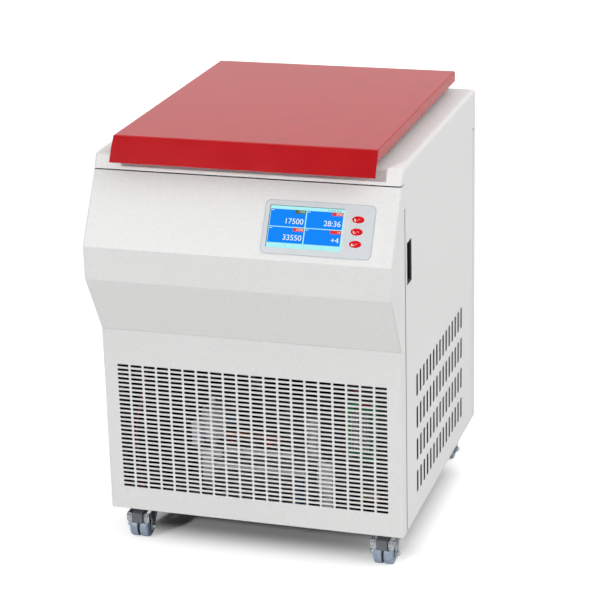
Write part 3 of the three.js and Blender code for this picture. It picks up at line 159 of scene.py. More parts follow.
# Moulded black ABS with a fine spark texture
blackPlastic = makeFinish("mouldedBlackAbs", "#121314", "#0C0D0E", 0.5, relief=(0.8, 0.02))
# Moulded grey polyamide: matt, slightly cloudy
greyPlastic = makeFinish("mouldedGreyPolyamide", "#73767C", "#6A6D73", 0.55, relief=(0.9, 0.02))
# Vacuum-formed liner sheet: satin grey with a leathery grain
linerSheet = makeFinish("formedLinerSheet", "#8B9096", "#80858B", 0.5, relief=(1.6, 0.03))
# Castor polyamide, light blue-grey: waxy and scuffed
wheelPlastic = makeFinish("wheelPolyamide", "#A9B8CC", "#98A7BB", 0.4, blotch=8, relief=(1.2, 0.02))
# Printed polyester film on an aluminium backing: smooth satin
overlayFilm = makeFinish("printedFilm", "#DCE0E4", "#D8DCE0", 0.38, relief=(0.7, 0.003))
# Film outline ink: a slightly darker grey
filmEdge = makeFinish("filmEdgeInk", "#C3C9CF", "#BEC4CA", 0.4, relief=(0.7, 0.003))
# Injection-moulded acrylic key, polished: deep glossy red
keyAcrylic = makeFinish("polishedRedAcrylic", "#EE0018", "#E60016", 0.14, relief=(3, 0.002), Coat_Weight=0.4)
# Solder mask on glass-epoxy board: green with a low sheen
boardMask = makeFinish("solderMask", "#1E9A52", "#17884A", 0.4, blotch=4, relief=(1, 0.01))
# Rigid polyurethane foam: cream, with cells about a millimetre across
foamBlock = makeFinish("polyurethaneFoam", "#E3DCC4", "#D6CDB0", 0.9, blotch=10, relief=(1, 0.15))
# Moulded EPDM rubber: very dark and dull
rubberProfile = makeFinish("mouldedEpdm", "#202122", "#1A1B1C", 0.75, relief=(0.8, 0.02))
# Smooth white stoving enamel on small parts
whiteEnamel = makeFinish("whiteEnamel", "#E6E8EA", "#DCDFE2", 0.35, relief=(2, 0.01))
# Moulded nylon connectors and wire sleeves: plain dyed colours with a low, waxy sheen
redNylon, blueNylon, beigeNylon, tealNylon, greenNylon, navyNylon, darkGreenNylon = (makeFinish(dye + "Nylon", colour,
    shade, roughness) for dye, colour, shade, roughness in (("red", "#D61C24", "#C3161E", 0.4),
    ("blue", "#2B4FA8", "#244592", 0.4), ("beige", "#D9C3A0", "#CDB58F", 0.45), ("teal", "#1B5F74", "#17566A", 0.45),
    ("green", "#10784A", "#0E6C42", 0.45), ("navy", "#16305E", "#122850", 0.5),
    ("darkGreen", "#0F3A22", "#0C301C", 0.5)))
# Moulded white plastic: a cool white, slightly cloudy
whitePlastic = makeFinish("mouldedWhitePlastic", "#DDE1EA", "#D3D8E2", 0.4, relief=(1.2, 0.01))
# Painted shade: near black on the hidden inner side of the outer sheets and on the walls of the side slots, so the
# inside reads dark through the openings; near-black foam behind the side slots, whose black is painted shade as well
paintedShadeCoat = makeFinish("paintedShadeCoat", "#111112", "#0B0B0C", 0.85, relief=(2, 0.1))
slotShadeFoam = makeFinish("slotShadeFoam", "#0E0E0F", "#070708", 0.95, blotch=3, relief=(1.5, 0.4))
# Screen-printed inks: flat and opaque
whiteInk = makeFinish("whiteInk", "#F4F4F4", "#EEEEEE", 0.5)
pinkInk = makeFinish("pinkInk", "#FF8F98", "#F98890", 0.5)
# Void paint inside the window and seams: no light comes back
darkInk = makeFinish("darkInk", "#0A0B0C", "#060708", 0.7)


# A lit part of the display shows its own colour, behind smooth cover glass
def makeLit(name, colour):
    material = makeFinish(name, "#050505", "#040404", 0.08, relief=(5, 0.0005), drift=0.02)
    surface = material.node_tree.nodes["Principled BSDF"]
    surface.inputs["Emission Color"].default_value = linear(colour)
    surface.inputs["Emission Strength"].default_value = 1
    return material


litCyan, litLine, litBlue, litWhite, litRed, litOlive, litGrey = (makeLit("lit" + name,
    colour) for name, colour in (("Cyan", "#AEF4F6"), ("CyanLine", "#7FDDEB"), ("Blue", "#0A86FA"),
    ("White", "#E8FBFF"), ("Red", "#E5352F"), ("Olive", "#5C5A1A"), ("Grey", "#7C9AA0")))
print("finishes made")


# Makes every face of an open or closed shell look away from its middle
def facingOut(bm):
    bmesh.ops.recalc_face_normals(bm, faces=bm.faces)
    middle = sum((v.co for v in bm.verts), Vector()) / len(bm.verts)
    if sum(f.normal.dot(f.calc_center_median() - middle) * f.calc_area() for f in bm.faces) < 0:
        bmesh.ops.reverse_faces(bm, faces=bm.faces)


def linked(name, data):
    holder = bpy.data.objects.new(name, data)
    scene.collection.objects.link(holder)
    return holder


def withMesh(name, bm, materials):
    mesh = bpy.data.meshes.new(name)
    for material in materials:
        mesh.materials.append(material)
    bm.to_mesh(mesh)
    bm.free()
    return linked(name, mesh)


def finalMesh(holder):
    bpy.context.view_layer.update()
    return bpy.data.meshes.new_from_object(holder.evaluated_get(bpy.context.evaluated_depsgraph_get()))


# What a helper object's curve or modifiers give, as a drawn mesh again
def redrawn(holder):
    mesh = finalMesh(holder)
    bpy.data.objects.remove(holder)
    bm = bmesh.new()
    bm.from_mesh(mesh)
    bpy.data.meshes.remove(mesh)
    return bm


# Thickens a skin inwards; the inner side may have a finish of its own
def addSheet(holder, thickness, materialOffset):
    solid = holder.modifiers.new("sheet", "SOLIDIFY")
    solid.thickness = thickness
    solid.offset = -1
    solid.use_even_offset = True
    solid.material_offset = materialOffset


# Turns a drawn mesh into an object on its body, with thickness, rounded edges and smooth faces
def newPiece(name, bm, material, replaces=(), thickness=0, bevel=0, segments=2, sharp=32, clean=True,
             body="cabinet"):
    if clean:
        bmesh.ops.remove_doubles(bm, verts=bm.verts, dist=0.002)
        facingOut(bm)
    bm.transform(Matrix.Scale(millimetre, 4))
    materials = material if isinstance(material, list) else [material]
    piece = withMesh(name, bm, materials)
    if thickness:
        addSheet(piece, thickness * millimetre, len(materials) - 1)
    if bevel:
        rounded = piece.modifiers.new("edges", "BEVEL")
        rounded.width = bevel * millimetre
        rounded.segments = segments
        rounded.limit_method = "ANGLE"
        rounded.angle_limit = radians(40)
        rounded.use_clamp_overlap = True
    if thickness or bevel:
        shaped = finalMesh(piece)
        piece.modifiers.clear()
        piece.data = shaped
    piece.data.shade_smooth()
    piece.data.set_sharp_from_angle(angle=radians(sharp))
    level = piece.modifiers.new("shading", "WEIGHTED_NORMAL")
    level.keep_sharp = True
    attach(piece, body)
    if replaces:
        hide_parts(*replaces)
    return piece


# Cuts a drawn mesh by another, or keeps what both share. The two empty slots of each keep a sheet's outer
# and inner finish apart through the cut
def carved(bm, cutter, operation="DIFFERENCE"):
    for each in (bm, cutter):
        bmesh.ops.recalc_face_normals(each, faces=each.faces)
    base, tool = (withMesh("tool", each, (None, None)) for each in (bm, cutter))
    step = base.modifiers.new("cut", "BOOLEAN")
    step.object = tool
    step.operation = operation
    step.solver = "EXACT"
    made = redrawn(base)
    bpy.data.objects.remove(tool)
    return made


def merged(*meshes):
    whole = meshes[0]
    for other in meshes[1:]:
        part = bpy.data.meshes.new("part")
        other.to_mesh(part)
        other.free()
        whole.from_mesh(part)
        bpy.data.meshes.remove(part)
    return whole


def moved(bm, matrix):
    bm.transform(matrix)
    return bm


def shift(x, y, z):
    return Matrix.Translation((x, y, z))


def turn(degrees, axis):
    return Matrix.Rotation(radians(degrees), 4, axis)


# Stands a plate drawn in y and z up, with its thickness along x
sideAxes = Matrix(((0, 0, 1, 0), (1, 0, 0, 0), (0, 1, 0, 0), (0, 0, 0, 1)))


def withMaterial(bm, index):
    for face in bm.faces:
        face.material_index = index
    return bm


# Outlines
def circle(u, v, radius, steps=48):
    return [(u + radius * cos(2 * pi * i / steps), v + radius * sin(2 * pi * i / steps)) for i in range(steps)]


def oval(u, v, halfU, halfV, steps=48):
    return [(u + halfU * a, v + halfV * b) for a, b in circle(0, 0, 1, steps)]


def rounded(u0, u1, v0, v1, radius, steps=8):
    points = []
    for u, v, start in ((u0 + radius, v0 + radius, 180), (u1 - radius, v0 + radius, 270),
                        (u1 - radius, v1 - radius, 0), (u0 + radius, v1 - radius, 90)):
        for i in range(steps + 1):
            angle = radians(start + 90 * i / steps)
            points.append((u + radius * cos(angle), v + radius * sin(angle)))
    return points


# Flat plate from outlines with holes, from z = 0 up, with softened rims
def plate(outlines, thickness, softened=0):
    curve = bpy.data.curves.new("plate", "CURVE")
    curve.dimensions = "2D"
    curve.fill_mode = "BOTH"
    curve.extrude = thickness / 2 - softened
    curve.bevel_depth = softened
    curve.bevel_resolution = 1
    curve.offset = -softened
    for outline in outlines:
        spline = curve.splines.new("POLY")
        spline.points.add(len(outline) - 1)
        for point, (u, v) in zip(spline.points, outline):
            point.co = (u, v, 0, 1)
        spline.use_cyclic_u = True
    bm = redrawn(linked("plate", curve))
    bmesh.ops.remove_doubles(bm, verts=bm.verts, dist=0.001)
    return moved(bm, shift(0, 0, thickness / 2))


def lofted(rings, capped=True):
    bm = bmesh.new()
    levels = [[bm.verts.new(point) for point in ring] for ring in rings]
    count = len(levels[0])
    for lower, upper in zip(levels, levels[1:]):
        for i in range(count):
            j = (i + 1) % count
            bm.faces.new((lower[i], lower[j], upper[j], upper[i]))
    if capped:
        bm.faces.new(reversed(levels[0]))
        bm.faces.new(levels[-1])
    return bm


def prism(outline, low, high):
    return lofted([[(u, v, low) for u, v in outline], [(u, v, high) for u, v in outline]])


def block(x0, x1, y0, y1, z0, z1):
    return prism([(x0, y0), (x1, y0), (x1, y1), (x0, y1)], z0, z1)


# Revolved about z from (radius, height) points; a closed ring where the profile closes on itself
def turned(profile, steps=96, closed=False):
    bm = bmesh.new()
    rings = []
    for radius, height in profile:
        if radius < 1e-6:
            rings.append([bm.verts.new((0, 0, height))] * steps)
        else:
            rings.append([bm.verts.new((u, v, height)) for u, v in circle(0, 0, radius, steps)])
    pairs = list(zip(rings, rings[1:])) + ([(rings[-1], rings[0])] if closed else [])
    for lower, upper in pairs:
        for i in range(steps):
            j = (i + 1) % steps
            corners = [lower[i], lower[j], upper[j], upper[i]]
            distinct = [v for k, v in enumerate(corners) if v not in corners[:k]]
            if len(distinct) > 2:
                bm.faces.new(distinct)
    return bm


def rod(radius, low, high, steps):
    return turned([(0, low), (radius, low), (radius, high), (0, high)], steps)


def arcPoints(u, v, radius, start, end, steps=6, tall=None):
    angles = [radians(start + (end - start) * i / steps) for i in range(steps + 1)]
    return [(u + radius * cos(angle), v + (tall or radius) * sin(angle)) for angle in angles]


# Round wire or pipe along points
def piped(points, radius, sides=12, smooth=True):
    curve = bpy.data.curves.new("pipe", "CURVE")
    curve.dimensions = "3D"
    curve.bevel_depth = radius
    curve.bevel_resolution = sides // 4
    curve.use_fill_caps = True
    curve.resolution_u = 8
    spline = curve.splines.new("NURBS" if smooth else "POLY")
    spline.points.add(len(points) - 1)
    for point, place in zip(spline.points, points):
        point.co = (*place, 1)
    if smooth:
        spline.order_u = 3
        spline.use_endpoint_u = True
    return redrawn(linked("pipe", curve))


# A CAD node's own shape with its machined edges softened, named after the node
def softened(node, material, slot, bevel=0.5, body="cabinet", name=None):
    first, *rest = node.split("_")
    name = name or first + "".join(map(str.capitalize, rest))
    bm = bmesh.new()
    bm.from_mesh(frame["nodes"][node].data)
    bm.transform(Matrix.Scale(1 / millimetre, 4))
    bmesh.ops.remove_doubles(bm, verts=bm.verts, dist=0.005)
    bmesh.ops.dissolve_limit(bm, angle_limit=radians(1), verts=bm.verts, edges=bm.edges)
    return newPiece(name, bm, material, [node], bevel=bevel, clean=False, body=body)


# Stage: floor, light and camera
# floorLift, liftReach and liftInset shape the light painted onto the floor for the camera
studio = Settings(floorSize=40, mirror=0.76, mirrorDim=0.1, dimAxis=(-0.28, -0.75, 0.6), dimInner=20, dimOuter=50,
    floorUnseen="#DFDFDF", floorSeen="#DCDCDC", floorLift=0.62, liftReach=0.11, liftInset=(0.08, 0.1975, 0))
# Soft boxes round the object: direction, half angle of the full light, half angle where it ends, strength
softBoxes = {
    "key": ((-0.4, -0.8, 0.43), 1, 3.5, 229),
    "frontHigh": ((0, -0.6, 0.8), 10, 30, 0.12),
    "rightHigh": ((0.75, 0, 0.66), 10, 35, 3.05),
    "overhead": ((0, 0, 1), 20, 50, 0.68),
    "rear": ((-0.25, 0.85, 0.4), 20, 50, 0.8)}
shot = Settings(azimuth=17.380, elevation=19.637, roll=-1.499, distance=4.6433, aim=(0.0140, 0.0117, 0.4795),
    lens=125.17)


# A level that goes from far to near between two angles round an axis
def faded(tree, place, axis, inner, outer, far, near):
    toward = addNode(tree, "VectorMath", {"operation": "DOT_PRODUCT", 1: Vector(axis).normalized()},
        {0: place.outputs["Generated"]})
    return addNode(tree, "MapRange", {
        "interpolation_type": "SMOOTHSTEP", "From Min": cos(radians(outer)), "From Max": cos(radians(inner)),
        "To Min": far, "To Max": near}, {"Value": toward.outputs["Value"]})


def makeStudio():
    world = bpy.data.worlds.new("studio")
    scene.world = world
    world.use_nodes = True
    tree = world.node_tree
    tree.nodes.clear()
    ray = addNode(tree, "LightPath")
    place = addNode(tree, "TexCoord")
    levels = [faded(tree, place, *angles, 0, strength) for *angles, strength in softBoxes.values()]
    total = levels[0]
    for level in levels[1:]:
        total = addNode(tree, "Math", {"operation": "ADD"}, {0: total, 1: level})
    room = addNode(tree, "Background", links={"Strength": total})
    # glossy faces mirror a white room with a dim patch behind the camera
    depth = faded(tree, place, studio.dimAxis, studio.dimInner, studio.dimOuter, studio.mirror, studio.mirrorDim)
    mirror = addNode(tree, "Background", links={"Strength": depth})
    lit = addNode(tree, "MixShader", links={0: ray.outputs["Is Glossy Ray"], 1: room, 2: mirror})
    seen = addNode(tree, "Background", {"Strength": 1})
    direct = addNode(tree, "Math", {"operation": "MAXIMUM"},
        {0: ray.outputs["Is Camera Ray"], 1: ray.outputs["Is Transmission Ray"]})
    final = addNode(tree, "MixShader", links={0: direct, 1: lit, 2: seen})
    for background in (room, mirror, seen):
        background.inputs["Color"].default_value = (1, 1, 1, 1)
    addNode(tree, "OutputWorld", links={"Surface": final})

    # Floor: white, with painted light for the camera: a glow that is nil under the footprint and rises to full within
    # a short reach outside it, so the real shadow shows under the object and is painted out beyond it; the camera
    # sees a slightly darker white than the bounced light does
    paint = bpy.data.materials.new("studioFloor")
    paint.use_nodes = True
    tree = paint.node_tree
    tree.nodes.clear()
    ray = addNode(tree, "LightPath")
    here = addNode(tree, "NewGeometry")
    half = cadBounds[1] - Vector(studio.liftInset)
    fromMiddle = addNode(tree, "VectorMath", {"operation": "ABSOLUTE"}, {0: here.outputs["Position"]})
    beyond = addNode(tree, "VectorMath", {"operation": "SUBTRACT", 1: (half[0], half[1], 0)}, {0: fromMiddle})
    outside = addNode(tree, "VectorMath", {"operation": "MAXIMUM", 1: (0, 0, 0)}, {0: beyond})
    away = addNode(tree, "VectorMath", {"operation": "LENGTH"}, {0: outside})
    # painted light: a glow for camera rays, nil under the footprint and rising with distance from it
    rise = addNode(tree, "MapRange", {"interpolation_type": "SMOOTHSTEP", "From Max": studio.liftReach,
        "To Max": studio.floorLift}, {"Value": away.outputs["Value"]})
    lift = addNode(tree, "Math", {"operation": "MULTIPLY"}, {0: ray.outputs["Is Camera Ray"], 1: rise})
    shade = addNode(tree, "Mix", {"data_type": "RGBA", 6: linear(studio.floorUnseen), 7: linear(studio.floorSeen)},
        {0: ray.outputs["Is Camera Ray"]})
    matt = addNode(tree, "BsdfDiffuse", links={"Color": shade.outputs[2]})
    glow = addNode(tree, "Emission", links={"Strength": lift})
    both = addNode(tree, "AddShader", links={0: matt, 1: glow})
    addNode(tree, "OutputMaterial", links={"Surface": both})
    bm = bmesh.new()
    bmesh.ops.create_grid(bm, x_segments=1, y_segments=1, size=studio.floorSize / 2)
    floor = withMesh("studioFloor", bm, [paint])


def makeCamera():
    azimuth, elevation, roll = (radians(shot[key]) for key in ("azimuth", "elevation", "roll"))
    back = Vector((sin(azimuth) * cos(elevation), -cos(azimuth) * cos(elevation), sin(elevation)))
    level = Vector((cos(azimuth), sin(azimuth), 0))
    up = back.cross(level)
    right = level * cos(roll) + up * sin(roll)
    lens = bpy.data.cameras.new("camera")
    lens.lens = shot.lens
    lens.clip_end = 100
    camera = linked("camera", lens)
    axes = Matrix((right, back.cross(right), back)).transposed().to_4x4()
    camera.matrix_world = Matrix.Translation(Vector(shot.aim) + back * shot.distance) @ axes
    scene.camera = camera


makeStudio()
makeCamera()
print("studio and camera set")

# Lid: folded sheet with a deep slanted front flange
lid = Settings(flangeReach=28, flangeDrop=50, skirt=23, sheet=2, bend=3.5, rim=0.5)


def makeLidShell():
    low, high = cadBox("lid_shell")
    front = low.y + lid.flangeReach
    skirtZ = high.z - lid.skirt
    meetY = front - lid.flangeReach * lid.skirt / lid.flangeDrop
    bm = bmesh.new()
    # each side has the flange's top and foot, where the flange meets the skirt, and the rear's top and foot
    corner = {side + end: bm.verts.new((x, y, z)) for side, x in (("left", -high.x), ("right", high.x))
              for end, y, z in (("Top", front, high.z), ("Foot", low.y, low.z), ("Meet", meetY, skirtZ),
                                ("Rear", high.y, high.z), ("RearFoot", high.y, skirtZ))}
    for face in ("leftTop rightTop rightRear leftRear", "leftTop leftMeet leftFoot rightFoot rightMeet rightTop",
                 "rightTop rightMeet rightRearFoot rightRear", "leftRear leftRearFoot leftMeet leftTop",
                 "rightRear rightRearFoot leftRearFoot leftRear"):
        bm.faces.new([corner[name] for name in face.split()])
    folds = [edge for edge in bm.edges if len(edge.link_faces) == 2]
    bmesh.ops.bevel(bm, geom=folds, offset=lid.bend, segments=4, profile=0.5, affect="EDGES")
    newPiece("lidShell", bm, powderRed, ["lid_shell"], lid.sheet, lid.rim, sharp=40, body="lid")


makeLidShell()

# Inner side of the lid: formed liner, a raised round panel with screws, and the seal
liner = Settings(corner=24, fillet=9, draft=3, panelRadius=188, panelRise=1.8, screwCircle=172, screwRadius=4.5,
    screws=8, grip=0.3, sealWidth=9)


def screwHead(radius):
    head = turned([(0, 0), (radius, 0), (radius, radius * 0.3), (radius * 0.8, radius * 0.55), (0, radius * 0.6)], 24)
    cross = merged(block(-radius * 0.6, radius * 0.6, -radius * 0.12, radius * 0.12, radius * 0.35, radius),
        block(-radius * 0.12, radius * 0.12, -radius * 0.6, -radius * 0.12, radius * 0.35, radius),
        block(-radius * 0.12, radius * 0.12, radius * 0.12, radius * 0.6, radius * 0.35, radius))
    return carved(head, cross)


def makeLidInside():
    low, high = cadBox("lid_liner")
    rings = []
    for u, v in arcPoints(0, 0, 1, 0, 90):
        inset = liner.draft + liner.fillet * (1 - u)
        z = low.z + liner.fillet * (1 - v)
        rings.append((inset, z))
    rings.insert(0, (0, high.z))
    outlines = [[(u, v, z) for u, v in rounded(low.x + inset, high.x - inset, low.y + inset, high.y - inset,
        liner.corner)] for inset, z in rings]
    newPiece("lidLiner", lofted(outlines), linerSheet, ["lid_liner"], body="lid")
    sealLow, sealHigh = cadBox("lid_seal")
    centre = (sealLow + sealHigh) / 2
    panel = turned([(0, 0), (liner.panelRadius, 0), (liner.panelRadius - 1, -liner.panelRise), (0, -liner.panelRise)],
        128)
    newPiece("lidInnerPanel", moved(panel, shift(centre.x, centre.y, low.z - liner.grip)), stainlessSheet,
        body="lid")
    heads = []
    for i in range(liner.screws):
        angle = 2 * pi * i / liner.screws
        place = shift(centre.x + liner.screwCircle * cos(angle), centre.y + liner.screwCircle * sin(angle),
            low.z - liner.grip - liner.panelRise)
        heads.append(moved(screwHead(liner.screwRadius), place @ turn(180, "X")))
    newPiece("lidPanelScrews", merged(*heads), zincPlate, body="lid")
    outer = sealHigh.x
    width = liner.sealWidth
    base, lip = sealHigh.z, sealLow.z
    middle = outer - width / 2
    half = (base - lip) / 2
    profile = [(outer, base), *arcPoints(middle, base - half, width / 2, 0, -180, 10, half), (outer - width, base)]
    newPiece("lidSeal", moved(turned(profile, 128, True), shift(centre.x, centre.y, 0)), rubberProfile,
        ["lid_seal"], body="lid")
    softened("lid_insulation", foamBlock, "foam", 1, "lid", "lidFoam")


makeLidInside()
print("lid made")

# Console and cabinet sheets
sheets = Settings(thickness=1.5, sideThickness=0.9, corner=6, bend=2.2, returnDepth=32, seamSetback=10, rim=0.35,
    chamferTop=638, bandTop=709, seamGap=1.6, panelGap=0.3, coverSetback=15, coverGap=2.4, coverCorner=7,
    coverOpening=203, frontGap=2.4)
console = Settings(bezelRadius=11, bezelThickness=1.2, bezelWidth=231, bezelHeight=112.2, bezelX=169.4, bezelTop=40,
    screenX=142.6, screenTop=50.9, screenWidth=157, screenHeight=88, recess=3.4, lift=0.3, wallThickness=1.0,
    keyX=250.2, keyLength=25, keyHeight=14.2, keyFirst=71, keyPitch=25.2, keyProud=2.0, halo=1.1)

# outer face powder white, inner face painted shade
sheetFinish = [powderWhite, paintedShadeCoat]
fasciaLow, fasciaHigh = cadBox("front_fascia")
panelFront = fasciaHigh.y - sheets.returnDepth
pressAxis = Vector(jointNamed("key_upper_press")["axis"])
consolePlace = shift(0, panelFront + sheets.seamSetback, fasciaHigh.z) @ Matrix.Rotation(acos(-pressAxis.z), 4, "X")


# A path with each inner corner rounded
def roundedPath(points, radius, steps=4):
    points = [Vector(point) for point in points]
    path = [points[0]]
    for before, corner, after in zip(points, points[1:], points[2:]):
        toBefore, toAfter = (before - corner).normalized(), (after - corner).normalized()
        reach = radius / tan(toBefore.angle(toAfter) / 2)
        first, last = corner + toBefore * reach, corner + toAfter * reach
        for i in range(steps + 1):
            share = i / steps
            path.append(first.lerp(corner, share).lerp(corner.lerp(last, share), share))
    return [tuple(point) for point in [*path, points[-1]]]


# Half-open section of a front sheet: a return, a rounded corner, the face and the same again
def panOutline(half, face, back, corner):
    sign = 1 if back > face else -1
    left = [(-half, back)] + [(-half + corner - corner * u, face + sign * (corner - corner * v))
        for u, v in arcPoints(0, 0, 1, 0, 90, 7)]
    return left + [(-x, y) for x, y in reversed(left)]


def sheetSkin(rows):
    bm = bmesh.new()
    levels = [[bm.verts.new(point) for point in row] for row in rows]
    for lower, upper in zip(levels, levels[1:]):
        for i in range(len(lower) - 1):
            bm.faces.new((lower[i], lower[i + 1], upper[i + 1], upper[i]))
    return bm


def thickened(bm, thickness):
    facingOut(bm)
    holder = withMesh("tool", bm, (None, None))
    addSheet(holder, thickness, 1)
    return redrawn(holder)


def keyCentres():
    return [-console.keyFirst - i * console.keyPitch for i in range(3)]


def keyOval(centre, margin):
    return oval(console.keyX, centre, console.keyLength / 2 + margin, console.keyHeight / 2 + margin)


def windowOutline(margin=0):
    half = console.screenWidth / 2 + margin
    return rounded(console.screenX - half, console.screenX + half, -console.screenTop - console.screenHeight - margin,
        -console.screenTop + margin, 1, 3)


def makeFascia():
    path = [(panelFront, fasciaLow.z - sheets.seamGap / 2), (fasciaLow.y, sheets.chamferTop),
        (fasciaLow.y, sheets.bandTop), (panelFront + sheets.seamSetback, fasciaHigh.z)]
    rows = [[(x, y, z) for x, y in panOutline(fasciaHigh.x, face, fasciaHigh.y, sheets.corner)]
        for face, z in roundedPath(path, sheets.bend)]
    skin = thickened(sheetSkin(rows), sheets.thickness)
    holes = [windowOutline(0.2)] + [keyOval(v, 0.3) for v in keyCentres()]
    for hole in holes:
        skin = carved(skin, moved(prism(hole, -overrun, overrun), consolePlace))
    newPiece("frontFascia", skin, sheetFinish, ["front_fascia"], bevel=sheets.rim, sharp=35)


def makeTopCover():
    low, high = cadBox("top_cover")
    seam = fasciaHigh.z + sheets.coverGap
    seamY = panelFront + sheets.seamSetback
    corner = sheets.coverCorner
    shoulder = high.z - corner
    stepY = fasciaHigh.y + 0.3

    def ring(inset, z):
        front = seamY + sheets.coverSetback * max(z - seam, 0) / (high.z - seam)
        outline = rounded(low.x + inset, high.x - inset, front + inset, high.y - inset, corner, 6)
        return [(u, v, z) for u, v in outline]

    rings = [ring(0, low.z), ring(0, seam)]
    rings += [ring(corner - corner * u, shoulder + corner * v) for u, v in arcPoints(0, 0, 1, 0, 90, 6)]
    bm = lofted(rings, False)
    bm.faces.new([bm.verts.new(point) for point in rings[-1]])
    bmesh.ops.remove_doubles(bm, verts=bm.verts, dist=0.001)
    skin = thickened(bm, sheets.thickness)
    skin = carved(skin, block(low.x - overrun, high.x + overrun, seamY - overrun, stepY, low.z - overrun, seam))
    centre = boxAndCentre("chamber_bowl")[2]
    openings = [circle(centre.x, centre.y, sheets.coverOpening, 128)]
    for striker in ("lid_striker_left", "lid_striker_right"):
        strikerLow, strikerHigh = cadBox(striker)
        openings.append(rounded(strikerLow.x - 4, strikerHigh.x + 4, strikerLow.y - 4, strikerHigh.y + 4, 3))
    rearY = cadBox("hinge_carrier")[1].y
    for arm in ("hinge_arm_left", "hinge_arm_right"):
        armLow, armHigh = cadBox(arm)
        openings += [rounded(x - 2.5, x + 2.5, rearY - 17.2, rearY + 0.4, 1) for x in (armLow.x - 2.5,
            armHigh.x + 2.5)]
    for opening in openings:
        skin = carved(skin, prism(opening, high.z - 10, high.z + overrun))
    newPiece("topCover", skin, sheetFinish, ["top_cover"], bevel=sheets.rim, sharp=35)


# A pan whose face is punched with a grid of slots
def punchedPan(low, high, face, back, across, up, corner):
    outline = panOutline(high.x, face, back, corner)
    side = len(outline) // 2
    across = [x for pair in across for x in pair]
    section = outline[:side] + [(x, face) for x in across] + outline[side:]
    heights = [low.z] + [z for pair in up for z in pair] + [high.z]
    bm = bmesh.new()
    grid = [[bm.verts.new((x, y, z)) for x, y in section] for z in heights]
    for row in range(len(heights) - 1):
        for column in range(len(section) - 1):
            punched = side <= column < side + len(across) and (column - side) % 2 == 0 and row % 2 == 1
            if not punched:
                bm.faces.new((grid[row][column], grid[row][column + 1], grid[row + 1][column + 1],
                    grid[row + 1][column]))
    return bm


grille = Settings(columns=20, rows=29, pitchX=30, pitchZ=10, length=25, height=5.5, centreZ=280)


def spans(count, pitch, size, centre):
    middles = [centre + (i - (count - 1) / 2) * pitch for i in range(count)]
    return [(middle - size / 2, middle + size / 2) for middle in middles]


def makeGrille():
    low, high = cadBox("front_grille_panel")
    high = high + Vector((0, 0, sheets.seamGap / 2 - sheets.panelGap - 0.4))
    bm = punchedPan(low, high, low.y, high.y, spans(grille.columns, grille.pitchX, grille.length, 0),
                    spans(grille.rows, grille.pitchZ, grille.height, grille.centreZ), sheets.corner)
    newPiece("frontGrillePanel", bm, sheetFinish, ["front_grille_panel"], sheets.thickness,
        sheets.rim, 1, sharp=35)


vents = Settings(columns=12, pitch=24, width=10, length=150, centreX=-60, centreZ=284)


def makeRear():
    low, high = cadBox("rear_panel")
    bm = punchedPan(low, high, high.y, low.y, spans(vents.columns, vents.pitch, vents.width, vents.centreX),
                    spans(1, 1, vents.length, vents.centreZ), sheets.corner)
    skin = thickened(bm, sheets.thickness)
    inletLow, inletHigh = cadBox("mains_inlet")
    skin = carved(skin, block(inletLow.x + 8 - 0.3, inletHigh.x - 8 + 0.3, high.y - 10, high.y + overrun,
        inletLow.z + 8 - 0.3, inletHigh.z - 8 + 0.3))
    newPiece("rearPanel", skin, sheetFinish, ["rear_panel"], bevel=sheets.rim, segments=1, sharp=35)


sideSlots = Settings(columns=15, rows=4, pitchY=30, pitchZ=74, length=49.5, width=13.4, end=4.5, centreY=25.5,
    centreZ=272, corner=7, mat=4, matGap=0.1, wellY=2.6, wellZ=0.8)


